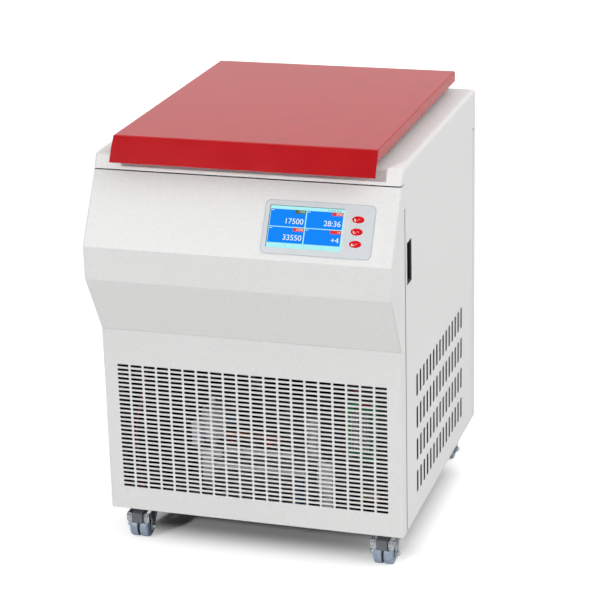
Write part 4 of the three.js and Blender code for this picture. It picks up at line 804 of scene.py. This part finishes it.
def makeSides():
    for side, hand in ((-1, "left"), (1, "right")):
        node, name = "side_panel_" + hand, "sidePanel" + hand.capitalize()
        low, high = cadBox(node)
        outlines = [rounded(low.y + sheets.frontGap, high.y, low.z, cadBox("top_cover")[0].z - sheets.panelGap,
            sideSlots.corner)]
        for y0, y1 in spans(sideSlots.columns, sideSlots.pitchY, sideSlots.width, sideSlots.centreY):
            for z0, z1 in spans(sideSlots.rows, sideSlots.pitchZ, sideSlots.length, sideSlots.centreZ):
                outlines.append(rounded(y0, y1, z0, z1, sideSlots.end, 6))
        if side > 0:
            wellLow, wellHigh = cadBox("switch_housing")
            opening = (wellLow.y - sideSlots.wellY, wellHigh.y + sideSlots.wellY, wellLow.z - sideSlots.wellZ,
                wellHigh.z + sideSlots.wellZ)
            outlines.append(rounded(*opening, 0.8, 2))
            surround = plate([rounded(opening[0] - 4, opening[1] + 4, opening[2] - 4, opening[3] + 4, 2),
                rounded(wellLow.y + 2, wellHigh.y - 2, wellLow.z + 2, wellHigh.z - 2, 0.8, 2)], 1.5, 0.3)
            newPiece("switchSurround", moved(surround, shift(high.x - sheets.sideThickness - 1.6, 0, 0) @ sideAxes),
                blackPlastic, sharp=35)
        sheet = plate(outlines, sheets.sideThickness, 0.3)
        # painted shade: the inner face and the walls of the slots and of the switch opening take the near-black coat
        for face in sheet.faces:
            middle = face.calc_center_median()
            inside = low.y + 4 < middle.x < high.y - 4 and low.z + 4 < middle.y < high.z - 8
            face.material_index = int(face.normal.z * side < -0.9 or inside and abs(face.normal.z) < 0.5)
        base = low.x if side < 0 else high.x - sheets.sideThickness
        newPiece(name, moved(sheet, shift(base, 0, 0) @ sideAxes), sheetFinish, [node], sharp=35)
        # reticulated foam mat behind the slots blocks the light through them; its near-black colour is painted shade
        halfY = sideSlots.columns * sideSlots.pitchY / 2
        halfZ = sideSlots.rows * sideSlots.pitchZ / 2
        outer = (high.x if side > 0 else low.x) - side * (sheets.sideThickness + sideSlots.matGap)
        inner = outer - side * sideSlots.mat
        mat = block(min(outer, inner), max(outer, inner), sideSlots.centreY - halfY, sideSlots.centreY + halfY,
            sideSlots.centreZ - halfZ, sideSlots.centreZ + halfZ)
        newPiece(name + "Filter", mat, slotShadeFoam, bevel=1)


makeFascia()
makeTopCover()
makeGrille()
makeRear()
makeSides()
print("cabinet sheets made")

# Control panel: film, recessed display, keys
screen = Settings(left=1.4, right=3.8, topBar=7.2, middle=42.6, gutter=1.7, bottomBar=76.4, midX=75.3, gutterX=2.3,
    tagWidth=23, tagHeight=7.3, digits=16.2, small=6, stack=0.05)


def makeBezel():
    half = console.bezelWidth / 2
    outer = rounded(console.bezelX - half, console.bezelX + half, -console.bezelTop - console.bezelHeight,
        -console.bezelTop, console.bezelRadius, 12)
    film = plate([outer, windowOutline(), *(keyOval(v, 0.3) for v in keyCentres())], console.bezelThickness, 0.2)
    newPiece("controlFilm", moved(film, consolePlace @ shift(0, 0, console.lift)), overlayFilm,
        ["control_bezel"])
    top = console.lift + console.bezelThickness
    middleY = -0.5 * console.bezelHeight - console.bezelTop
    inner = [(console.bezelX + (u - console.bezelX) * 0.988, v + (middleY - v) * 0.024) for u, v in outer]
    edge = plate([outer, inner], 0.08)
    newPiece("controlFilmEdge", moved(edge, consolePlace @ shift(0, 0, top)), filmEdge)
    halos = [plate([keyOval(v, console.halo + 0.3), keyOval(v, 0.35)], 0.08) for v in keyCentres()]
    newPiece("keyHalos", moved(merged(*halos), consolePlace @ shift(0, 0, top)), whiteInk)


def words(text, size, x, y, right=True):
    curve = bpy.data.curves.new("digits", "FONT")
    curve.body = text
    curve.size = size
    curve.align_x = "RIGHT" if right else "LEFT"
    curve.extrude = 0.02
    return moved(redrawn(linked("digits", curve)), shift(x, y, 0.02))


def makeDisplay():
    left = console.screenX - console.screenWidth / 2
    top = -console.screenTop
    width, height = console.screenWidth, console.screenHeight
    face = -console.recess

    def panel(x0, x1, y0, y1, level, material):
        z = face + level * screen.stack
        return withMaterial(block(left + x0, left + x1, top - y1, top - y0, z - 0.4, z), material)

    # materials: 0 cyan, 1 blue, 2 red tag, 3 olive tag, 4 line, 5 grey marks, 6 black walls
    midX, gutterX = screen.midX, screen.gutterX
    columns = [(screen.left, midX), (midX + gutterX, width - screen.right)]
    rows = [(screen.topBar, screen.middle), (screen.middle + screen.gutter, screen.bottomBar)]
    parts = [panel(0, width, 0, height, 0, 0)]
    tags = [3, 2, 2, 2]
    texts = ["17500", "28:36", "33550", "+4"]
    limits = ["17500", "30:00", "33550", "+4"]
    digits, small, warm = [], [], []
    for i in range(4):
        (x0, x1), (y0, y1) = columns[i % 2], rows[i // 2]
        parts.append(panel(x0, x1, y0, y1, 1, 1))
        parts.append(panel(x1 - screen.tagWidth, x1, y0, y0 + screen.tagHeight, 2, tags[i]))
        digits.append(words(texts[i], screen.digits, left + x1 - 3, top - y1 + 6.2))
        (warm if i == 0 else small).append(words(limits[i], screen.small, left + x1 - 2,
            top - y0 - screen.tagHeight + 1.7))
        small.append(withMaterial(block(left + x0 + 1.5, left + x0 + 6.5, top - y0 - 3.4, top - y0 - 2.2, -0.2, 0),
            0))
    quarter = width / 4
    for i in range(1, 4):
        parts.append(panel(i * quarter - 0.3, i * quarter + 0.3, screen.bottomBar + 0.8, height - 0.8, 1, 4))
    parts.append(panel(0.8, width - 0.8, screen.bottomBar + 0.2, screen.bottomBar + 0.8, 1, 4))
    for i in range(5):
        parts.append(panel(width - 36 + i * 6, width - 33 + i * 6 + i % 2, 3.2, 5.2, 1, 5))
    window = prism(windowOutline(-console.wallThickness * 0.1), face - 0.3, overrun)
    walls = carved(prism(windowOutline(0.15), face - 2, -0.2), window)
    parts.append(withMaterial(walls, 6))
    newPiece("displayGlass", moved(merged(*parts), consolePlace),
        [litCyan, litBlue, litRed, litOlive, litLine, litGrey, darkInk], ["display_screen"],
        clean=False)
    newPiece("displayDigits", moved(merged(*digits, *small), consolePlace @ shift(0, 0, face + 3 * screen.stack)),
        litWhite, clean=False)
    newPiece("displayLimit", moved(merged(*warm), consolePlace @ shift(0, 0, face + 3 * screen.stack)), litCyan,
        clean=False)


def makeKeys():
    base = console.lift + console.bezelThickness
    halfU, halfV = console.keyLength / 2, console.keyHeight / 2
    for centre, row in zip(keyCentres(), ("upper", "middle", "lower")):
        node, name = "key_" + row, "key" + row.capitalize()
        dome = [(1, -9), (1, base + 0.3)] + [
            (cos(radians(a)), base + 0.3 + (console.keyProud - 0.3) * sin(radians(a))) for a in range(15, 90, 12)]
        rings = [[(u, v, z) for u, v in oval(console.keyX, centre, halfU * s, halfV * s)] for s, z in dome]
        newPiece(name, moved(lofted(rings), consolePlace), keyAcrylic, [node], sharp=60, body=node)
        z = base + console.keyProud * 0.86
        lamp = moved(turned([(0, -0.6), (1.4, -0.6), (1.4, 0), (1, 0.3), (0, 0.4)], 24),
            shift(console.keyX - 6.3, centre, z))
        mark = withMaterial(block(console.keyX - 0.5, console.keyX + 5, centre - 0.8, centre + 0.8, z - 0.6,
            z + 0.28), 1)
        newPiece(name + "Marks", moved(merged(lamp, mark), consolePlace), [whiteInk, pinkInk],
            sharp=60, body=node)


makeBezel()
makeDisplay()
makeKeys()
print("control panel made")

# Mains switch and inlet
rocker = Settings(reach=23, crown=3.6, back=4.5, tilt=8)


def makeSwitch():
    low, high = cadBox("switch_rocker")
    centre = Vector(jointNamed("mains_rocker")["pos_m"]) / millimetre
    reach = rocker.reach
    outline = [(-rocker.back, -reach), (2.2, -reach)]
    outline += [(2.2 + rocker.crown * 0.45 * cos(radians(a)), reach * sin(radians(a))) for a in range(-75, 76, 15)]
    outline += [(2.2, reach), (-rocker.back, reach)]
    bm = lofted([[(x, y, z) for x, z in outline] for y in (low.y - centre.y, high.y - centre.y)])
    place = shift(*centre) @ turn(rocker.tilt, "Y")
    newPiece("switchRocker", moved(bm, place), blackPlastic, ["switch_rocker"], bevel=0.6,
        body="switch_rocker")
    bar = block(3.1, 3.35, -0.7, 0.7, 9, 16)
    ring = moved(plate([circle(0, 0, 3.6), circle(0, 0, 2.4)], 0.3), shift(3.05, 0, -12) @ turn(90, "Y"))
    newPiece("switchMarks", moved(merged(bar, ring), place), whiteInk, body="switch_rocker")
    softened("switch_housing", blackPlastic, "black_plastic", 0.4)
    softened("mains_inlet", blackPlastic, "black_plastic")


makeSwitch()

# Hinge, lock and chassis keep the CAD shapes with their edges broken
for carriedOver in (
        ("chassis", chassisPaint, "chassis_enamel", 1.2),
        ("chamber_deck", zincPlate, "zinc_steel", 0.5),
        ("control_board", boardMask, "circuit_board", 0.2),
        ("lid_striker_left", zincPlate, "zinc_steel", 0.7, "lid"),
        ("lid_striker_right", zincPlate, "zinc_steel", 0.7, "lid"),
        ("hinge_arm_left", zincPlate, "zinc_steel", 0.6, "lid"),
        ("hinge_arm_right", zincPlate, "zinc_steel", 0.6, "lid"),
        ("hinge_carrier", zincPlate, "zinc_steel", 0.4),
        ("lock_bracket", zincPlate, "zinc_steel", 0.4),
        ("lock_hooks", zincPlate, "zinc_steel", 0.5, "lock_hooks"),
        ("armour_ring", steelPlate, "steel_plate", 1),
        ("chamber_insulation", foamBlock, "foam", 2, "cabinet", "chamberFoam"),
        ("drive_motor", blackPaint, "black_enamel", 1),
        ("drive_box", blackPaint, "black_enamel", 1),
        ("fan_shroud", blackPlastic, "black_plastic", 0.5),
        ("fan", blackPlastic, "black_plastic", 0.4, "fan", "fanRotor")):
    softened(*carriedOver)
for node, material in (("evaporator_coil", copperTube), ("drive_spindle", stainlessSheet),
                       *((f"motor_damper_{i}", rubberProfile) for i in (1, 2, 3))):
    plain = frame["nodes"][node]
    plain.data.materials.clear()
    plain.data.materials.append(material)
print("carried-over pieces finished")

springs = Settings(turns=4, wire=1.0, mean=6.5)


def makeHinge():
    low, high, centre = boxAndCentre("hinge_shaft")
    radius = (high.z - low.z) / 2
    shaft = turned([(0, low.x), (radius - 0.8, low.x), (radius, low.x + 0.8), (radius, high.x - 0.8),
        (radius - 0.8, high.x), (0, high.x)], 48)
    newPiece("hingeShaft", moved(shaft, shift(0, centre.y, centre.z) @ turn(90, "Y")), stainlessSheet,
        ["hinge_shaft"])
    for hand in ("left", "right"):
        node = "hinge_spring_" + hand
        low, high = cadBox(node)
        run = high.x - low.x - 2 * springs.wire
        coil = circle(centre.y, centre.z, springs.mean, 24)
        points = [(low.x + springs.wire + run * i / (24 * springs.turns), *coil[i % 24])
                  for i in range(24 * springs.turns + 1)]
        newPiece("hingeSpring" + hand.capitalize(), piped(points, springs.wire, 8, False), springWire,
            [node], sharp=60)


makeHinge()

# Rotor chamber
chamber = Settings(radius=200, wall=1.5, corner=14, flange=16, neckBore=46, neckRise=15)


def makeChamber():
    low, high, centre = boxAndCentre("chamber_bowl")
    wall, corner = chamber.wall, chamber.corner
    inner = chamber.radius
    top, floor = high.z, low.z
    profile = [(chamber.neckBore, floor + chamber.neckRise), (chamber.neckBore + wall, floor + chamber.neckRise),
        *arcPoints(chamber.neckBore + wall + 4, floor + wall + 4, 4, 180, 270),
        *arcPoints(inner - corner, floor + wall + corner, corner, -90, 0, 10),
        *arcPoints(inner + 2, top - 2, 2, 180, 90, 4), (inner + chamber.flange, top),
        (inner + chamber.flange, top - wall), (inner + wall, top - wall), (inner + wall, floor + corner),
        (inner - corner, floor), (chamber.neckBore, floor)]
    newPiece("chamberBowl", moved(turned(profile, 128, True), shift(centre.x, centre.y, 0)), stainlessSheet,
        ["chamber_bowl"], sharp=40)


rotorShape = Settings(radius=108, top=76, rim=22, foot=12, footRadius=66, hub=28, recess=10, bore=10.3, pockets=6,
    pocketRadius=14.75, lean=28, pocketReach=98, pocketFloor=26)


def makeRotor():
    shape = rotorShape
    low, high, centre = boxAndCentre("rotor")
    base, height = low.z, high.z - low.z
    profile = [(shape.bore, 0), (shape.hub, 0), (shape.hub + shape.recess, shape.recess),
        (shape.footRadius - shape.recess, shape.recess), (shape.footRadius, 0), (shape.radius - 4, shape.foot - 1),
        *arcPoints(shape.radius - 3, shape.foot + 3, 3, -60, 0, 3),
        *arcPoints(shape.radius - 4, shape.foot + shape.rim - 4, 4, 0, 60, 4),
        *arcPoints(shape.top - 4, height - 4, 4, 30, 90, 4),
        (shape.top - 14, height), (shape.top - 15, height - 1), (shape.top - 18, height - 1),
        (shape.top - 19, height), (shape.bore, height)]
    body = turned(profile, 144, True)
    lean = radians(shape.lean)
    foot = shape.pocketReach - shape.pocketRadius * cos(lean)
    radius = shape.pocketRadius
    numbers = []
    for i in range(shape.pockets):
        tube = turned([*arcPoints(0, radius, radius, -90, 0, 8), (radius, height), (0, height)], 48)
        spin = turn(360 * i / shape.pockets, "Z")
        body = carved(body, moved(tube, spin @ shift(foot, 0, shape.pocketFloor) @ turn(-shape.lean, "Y")))
        digit = words(str(i + 1), 9, 0, 0, False)
        numbers.append(moved(digit, spin @ turn(30, "Z") @ shift(60, 0, height) @ turn(90, "Z") @ shift(-2.6, -3, 0)))
    newPiece("rotorBody", moved(body, shift(centre.x, centre.y, base)), anodised, ["rotor"],
        bevel=0.5, sharp=40, body="rotor")
    newPiece("rotorNumbers", moved(merged(*numbers), shift(centre.x, centre.y, base + 0.01)), darkInk,
        clean=False, body="rotor")
    low, high = cadBox("rotor_nut")
    tall, grip = high.z - low.z, (high.x - low.x) / 2
    knob = turned([(0, 0), (grip, 0), (grip, 3), *arcPoints(grip - 6, tall - 6, 6, 0, 90, 6), (grip * 0.4, tall - 1),
        (0, tall - 1)], 96)
    for i in range(6):
        flute = moved(prism(circle(grip + 2.2, 0, 4, 32), 6, tall + overrun), turn(60 * i, "Z"))
        knob = carved(knob, flute)
    newPiece("rotorNut", moved(knob, shift(centre.x, centre.y, low.z)), blackPlastic, ["rotor_nut"],
        bevel=0.5, sharp=40, body="rotor")


makeChamber()
makeRotor()
print("chamber and rotor made")

# Refrigeration and electrics seen through the grille
cooling = Settings(fins=84, finThickness=0.35, plate=2, tubeRadius=4.5, tubeRows=5, tubeColumns=2, flange=20)


def makeCondenser():
    low, high = cadBox("condenser")
    run = high.x - low.x
    ends = merged(*(block(x0, x1, low.y, y1, z0, z1) for x0, x1, y1, z0, z1 in ((low.x, low.x + cooling.plate, high.y,
        low.z, high.z), (high.x - cooling.plate, high.x, high.y, low.z, high.z),
        (low.x, high.x, high.y, low.z, low.z + cooling.plate), (low.x, high.x, high.y, high.z - cooling.plate,
        high.z), (low.x, low.x + cooling.flange, low.y + 1.5, low.z, high.z),
        (high.x - cooling.flange, high.x, low.y + 1.5, low.z, high.z),
        (low.x, high.x, low.y + 1.5, low.z, low.z + cooling.flange / 2))))
    fins = []
    for i in range(1, cooling.fins):
        x = low.x + run * i / cooling.fins
        fins.append(block(x - cooling.finThickness / 2, x + cooling.finThickness / 2, low.y + 2, high.y - 2,
            low.z + 2, high.z - 2))
    newPiece("condenserFins", merged(*fins), finFoil, ["condenser"], clean=False)
    newPiece("condenserFrame", ends, zincPlate, bevel=0.4, clean=False)
    # pale enamelled rails across the front and a bracket at the right end
    rails = [block(x0, x1, low.y - 1.4, low.y, z0, z1) for x0, x1, z0, z1 in (
        (-78, 74, 222, 232), (-132, 102, 188, 194), (138, 163, 104, 220), (-135, -84, 209, 228))]
    newPiece("condenserRails", merged(*rails), whiteEnamel, bevel=0.4, clean=False)
    pitchZ = (high.z - low.z) / (cooling.tubeRows + 1)
    pitchY = (high.y - low.y) / (cooling.tubeColumns + 1)
    tubes = []
    for row in range(cooling.tubeRows):
        for column in range(cooling.tubeColumns):
            y, z = low.y + (column + 1) * pitchY, low.z + (row + 1) * pitchZ
            tubes.append(moved(rod(cooling.tubeRadius, low.x + 3, high.x - 3, 16), shift(0, y, z) @ turn(90, "Y")))
    newPiece("condenserTubes", merged(*tubes), copperTube, clean=False)


def makeVessels():
    low, high, centre = boxAndCentre("compressor")
    radius, dome = 88, 62
    shell = turned([(0, 6.5), (radius - 8, 6.5), *arcPoints(radius - 8, 14.5, 8, -90, 0, 4), (radius, 96),
                    (radius + 2, 97), (radius + 2, 101), (radius, 102),
                    *arcPoints(0, high.z - low.z - dome, radius, 0, 90, 12, dome)], 96)
    foot = prism(rounded(low.x, high.x, low.y + 44, high.y - 44, 8), 0, 6)
    newPiece("compressorShell", moved(merged(shell, moved(foot, shift(-centre.x, -centre.y, 0))),
        shift(centre.x, centre.y, low.z)), blackPaint, ["compressor"], sharp=40)
    low, high, centre = boxAndCentre("filter_drier")
    radius, tall = (high.x - low.x) / 2, high.z - low.z
    can = turned([(0, 0), (5, 0), (5, 14), *arcPoints(10, 24, 16, -90, 0, 6, 10),
                  *arcPoints(10, tall - 34, 16, 0, 90, 6, 10), (5, tall - 24), (5, tall), (0, tall)], 64)
    newPiece("filterDrier", moved(can, shift(centre.x, centre.y, low.z)), whiteEnamel,
        ["filter_drier"], sharp=50)
    newPiece("drierClamp", block(-152, centre.x - radius + 4, centre.y - 28, centre.y + 14, 229, 283), whitePlastic,
        bevel=2)


def makePipe():
    low, high = cadBox("suction_line")
    radius = 6
    start = Vector((high.x - radius, (low.y + high.y) / 2, low.z))
    end = Vector((low.x + radius, (low.y + high.y) / 2, high.z))
    points = [start, start + Vector((0, 0, 40)), Vector((end.x, start.y, start.z + 80)), end - Vector((0, 0, 40)),
        end]
    newPiece("suctionLine", piped(points, radius - 0.3), copperTube, ["suction_line"], sharp=60)


board = Settings(plateLow=(190.5, 217), plateHigh=(245.5, 351), sinkLow=(201, 247), sinkHigh=(239, 331), fins=7,
    connectors=((224, 343, 17, 6, 9), (205, 372, 13, 5, 9)),
    chips=((204, 330, 10, 7, 5), (226, 228, 14, 6, 7), (200, 224, 12, 8, 6)),
    covers=((247, 263, 243, 363), (199, 247, 352, 363)))


# Inverter board and the gate board stacked on it: heat sink with comb fins, sockets and small parts
def makeBoard():
    low, high = cadBox("inverter_board")
    boxLow = cadBox("drive_box")[0]
    back = boxLow.y - 0.3
    newPiece("inverterBoard", block(low.x, high.x, back - 1.6, back, low.z, high.z), boardMask,
        ["inverter_board"], bevel=0.2)
    covers = [block(x0, x1, back - 4, back - 1.6, z0, z1) for x0, x1, z0, z1 in board.covers]
    newPiece("inverterCovers", merged(*covers), blackPlastic, bevel=0.5, clean=False)
    (x0, z0), (x1, z1) = board.plateLow, board.plateHigh
    face = back - 4
    newPiece("gateBoard", block(x0, x1, face, back - 1.6, z0, z1), boardMask, bevel=0.2)
    (x0, z0), (x1, z1) = board.sinkLow, board.sinkHigh
    parts = [block(x0, x1, face - 3, face, z0, z1)]
    for i in range(board.fins):
        x = x0 + (x1 - x0 - 2) * i / (board.fins - 1)
        parts.append(block(x, x + 2, face - 16, face - 3, z0, z1))
    newPiece("inverterHeatSink", merged(*parts), finFoil, bevel=0.2, clean=False)
    for name, key, material in (("inverterConnectors", "connectors", redNylon),
                                ("inverterChips", "chips", blackPlastic)):
        parts = [block(x, x + w, face - d, boxLow.y, z, z + h) for x, z, w, h, d in board[key]]
        newPiece(name, merged(*parts), material, bevel=0.4, clean=False)
    # on the drive box beside it: terminal strip and two earth leads in clips
    strip = [block(222, 258, boxLow.y - 9, boxLow.y, 126, 142)]
    strip += [block(224 + 6 * i, 228 + 6 * i, boxLow.y - 11, boxLow.y - 9, 129, 139) for i in range(6)]
    newPiece("terminalStrip", merged(*strip), beigeNylon, bevel=0.4, clean=False)
    leads = [piped([(x, y, z0), (x, y, z1)], 2, 8, False)
             for x, y, z0, z1 in ((254, back - 6, 242, 375), (187.8, boxLow.y + 2, 304, 376))]
    clips = [block(251, 257, back - 9, boxLow.y, z, z + 4) for z in (248, 310, 368)]
    clips += [block(184.6, 190.2, boxLow.y - 1, boxLow.y + 5, z, z + 4) for z in (308, 368)]
    # one red lead hangs from the deck to the base plate behind the left end of the grille
    hanging = [(-262, -200, cadBox("chamber_deck")[0].z), (-262, -195, 440), (-268, -245, 335), (-282, -250, 280),
        (-288, -250, 236), (-286, -250, 193), (-283, -244, 130), (-281, -240, 87)]
    newPiece("hangingLead", piped(hanging, 1.6, 8), redNylon, sharp=60, clean=False)
    newPiece("earthLeads", merged(*leads), greenNylon, sharp=60, clean=False)
    newPiece("leadClips", merged(*clips), blackPlastic, bevel=0.4, clean=False)


# Liquid line with its valve coil and service ports, and the small parts on the condenser
def makeLine():
    drierLow, drierHigh = cadBox("filter_drier")
    low, high = cadBox("condenser")
    y = (drierLow.y + drierHigh.y) / 2
    x = (drierLow.x + drierHigh.x) / 2
    runs = [[(x, y, drierHigh.z - 1), (x, y, 352), (x + 8, y, 360), (-72, y, 360), (-62, y, 352), (-62, y, 282),
        (-54, y, 274), (36, y, 274), (44, y, 266), (44, y, high.z + 0.3)], [(-86, y - 6, 257), (44, y - 6, 257)]]
    for number, (run, jacket) in enumerate(zip(runs, (rubberProfile, copperTube))):
        newPiece(f"liquidLine{number + 1}", piped(run, 5.2 + 1.8 * number), jacket, sharp=60)
    newPiece("valveCoil", block(-76, -54, y - 13, y + 13, 283, 302), tealNylon, bevel=2)
    caps = [moved(turned([(0, 0), (5, 0), (5, 9), (4, 10.5), (0, 10.5)], 24),
        shift(place, y - 8, 250) @ turn(150, "X")) for place in (-64, 20)]
    newPiece("servicePortCaps", merged(*caps), redNylon, bevel=0.4, clean=False)
    band = turned([(5.2, 0), (8, 0), (8, 6), (5.2, 6)], 32, True)
    newPiece("drierBand", moved(band, shift(x, y, drierHigh.z - 18)), blueNylon, bevel=0.4)
    can = turned([(0, 0), (13, 0), (13, 84), *arcPoints(9, 84, 4, 0, 90, 4), (0, 88)], 48)
    newPiece("fanCapacitor", moved(can, shift(119, (low.y + high.y) / 2 - 12, high.z + 0.2)), whitePlastic,
        sharp=40)
    for name, (x0, x1, z0, z1), material in (("pressureSwitch", (77, 101, 118, 182), navyNylon),
                                             ("fanTerminals", (105, 127, 158, 193), darkGreenNylon)):
        newPiece(name, block(x0, x1, low.y - 9, low.y, z0, z1), material, bevel=1.5)


makeCondenser()
makeVessels()
makePipe()
makeBoard()
makeLine()
print("inner parts made")

# Twin-wheel castors
castor = Settings(forkTop=80.7, shoulder=71.7, inner=23.75, outer=26.25, round=6, trail=20, wheelRadius=25,
    wheelWidth=19, gap=5, hub=8, edge=4.8, eye=10, headRadius=22, pinY=-4, pinZ=60, blockFront=-36, blockHalf=12,
    wingFront=-45, wingLow=41.5, wingHigh=64, capRadius=6.2, capRise=6.5)


def makeFork(braked):
    c = castor
    outer, inner, top = c.outer, c.inner, c.shoulder
    radius = c.round
    outlineOut = [(-outer, 10), (-outer, top - radius), *arcPoints(-outer + radius, top - radius, radius, 180, 90),
        *arcPoints(outer - radius, top - radius, radius, 90, 0), (outer, 10)]
    sheet = outer - inner
    outlineIn = [(inner, 10), *arcPoints(outer - radius, top - radius, radius - sheet, 0, 90),
        *arcPoints(-outer + radius, top - radius, radius - sheet, 90, 180), (-inner, 10)]
    channel = lofted([[(x, y, z) for x, z in outlineOut + outlineIn] for y in (-40, 40)])
    side = [(20, top + 1), (-16, top + 1), (-20, top - 4)]
    side += [*arcPoints(-c.trail, c.wheelRadius, c.eye, 180, 360, 10), (20, top - 8)]
    trim = lofted([[(x, y, z) for y, z in side] for x in (-outer - 2, outer + 2)])
    fork = carved(channel, trim, "INTERSECT")
    for y, z, r in ((-14, 63, 2.4), (4, 64, 2.0)):
        fork = carved(fork, moved(prism(circle(0, 0, r, 24), -outer - 3, outer + 3), shift(0, y, z) @ turn(90, "Y")))
    head = turned([(0, top + 0.2), (c.headRadius - 4, top + 0.2), (c.headRadius, top + 2.5), (c.headRadius, top + 5),
        (c.headRadius - 3, c.forkTop - 1), (c.headRadius - 4, c.forkTop), (0, c.forkTop)], 48)
    wheelPlace = shift(0, -c.trail, c.wheelRadius)
    caps = []
    for side in (-1, 1):
        cap = turned([(0, 0), (c.capRadius, 0), (c.capRadius, 1.2),
                      *arcPoints(0, 1.2, c.capRadius, 0, 90, 6, c.capRise)], 32)
        caps.append(moved(cap, wheelPlace @ turn(90 * side, "Y") @ shift(0, 0, outer)))
    parts = [fork, head, moved(rod(4, -outer, outer, 24), wheelPlace @ turn(90, "Y")), *caps]
    if braked:
        parts.append(moved(rod(2.5, -outer - 0.6, outer + 0.6, 24), shift(0, c.pinY, c.pinZ) @ turn(90, "Y")))
        # folded wings shield the tops of the wheels on both sides of the pedal
        for side in (-1, 1):
            x0, x1 = sorted((side * (c.blockHalf + 1.4), side * outer))
            wing = moved(prism(rounded(x0, x1, -c.wingHigh, -c.wingLow, 5), 0, sheet),
                shift(0, c.wingFront, 0) @ turn(-90, "X"))
            for x, z in ((0.3, 0.2), (0.7, 0.24)):
                place = shift(x0 + (x1 - x0) * x, c.wingFront, c.wingHigh - (c.wingHigh - c.wingLow) * z)
                wing = carved(wing, moved(prism(circle(0, 0, 1.7, 20), -1, 5), place @ turn(-90, "X")))
            x0, x1 = sorted((side * inner, side * outer))
            cheek = prism(rounded(c.wingFront + 0.4, -14, c.wingLow + 4, c.wingHigh - 3, 2), x0, x1)
            parts += [wing, moved(cheek, sideAxes)]
    return merged(*parts)


def makeWheels():
    c = castor
    r, edge = c.wheelRadius, c.edge
    inside, outside = c.gap / 2, c.gap / 2 + c.wheelWidth

    def half(sign):
        points = [(c.hub, inside), (r - 2.4, inside), *arcPoints(r - 2, inside + 2, 2, -90, 0, 4),
            *arcPoints(r - edge, outside - edge, edge, 0, 90, 6), (r - 6, outside), (r - 7.5, outside - 2),
            (c.hub + 3.5, outside - 2), (c.hub + 2.5, outside - 0.2), (4.4, outside - 0.2)]
        return [(radius, sign * height) for radius, height in points]

    profile = list(reversed(half(-1))) + half(1)
    return moved(turned(profile, 72, True), turn(90, "Y"))


def makeBrake():
    c = castor
    back, halfX = c.blockFront + 12, c.blockHalf
    outline = [(c.pinY, c.pinZ - 5), (c.pinY, c.pinZ + 5), (back, c.pinZ + 5), (back, 69.5), (-36, 69.5), (-46, 68),
        (-50.5, 64.5), (-51.5, 54), (-51.5, 43.5), (-49.5, 42), (-47.5, 43.5), (-46.5, 50), (-42, 54.3), (back, 54.6)]
    return lofted([[(x, y, z) for y, z in outline] for x in (-halfX, halfX)])


for row in ("front", "rear"):
    for side in ("left", "right"):
        name = f"castor_{row}_{side}"
        swivel = jointNamed(name + "_swivel")["pos_m"]
        place = shift(swivel[0] / millimetre, swivel[1] / millimetre, 0)
        axle = place @ shift(0, -castor.trail, castor.wheelRadius)
        tag = "castor" + row.capitalize() + side.capitalize()
        newPiece(tag + "Fork", moved(makeFork(row == "front"), place), zincPlate, [name + "_fork"],
            bevel=0.3, sharp=40, clean=False, body=name + "_fork")
        # painted shade: a black disc fills the gap between the two wheels and darkens it
        gapShade = turned([(4.4, -castor.gap / 2), (21, -castor.gap / 2), (21, castor.gap / 2), (4.4, castor.gap / 2)],
            48, True)
        newPiece(tag + "GapShade", moved(gapShade, axle @ turn(90, "Y")),
            blackPlastic, body=name + "_wheels")
        newPiece(tag + "Wheels", moved(makeWheels(), axle),
            wheelPlastic, [name + "_wheels"], sharp=40, body=name + "_wheels")
        if row == "front":
            newPiece(tag + "Brake", moved(makeBrake(), place), greyPlastic, [name + "_brake"],
                bevel=1.0, sharp=40, body=name + "_brake")
print("castors made")
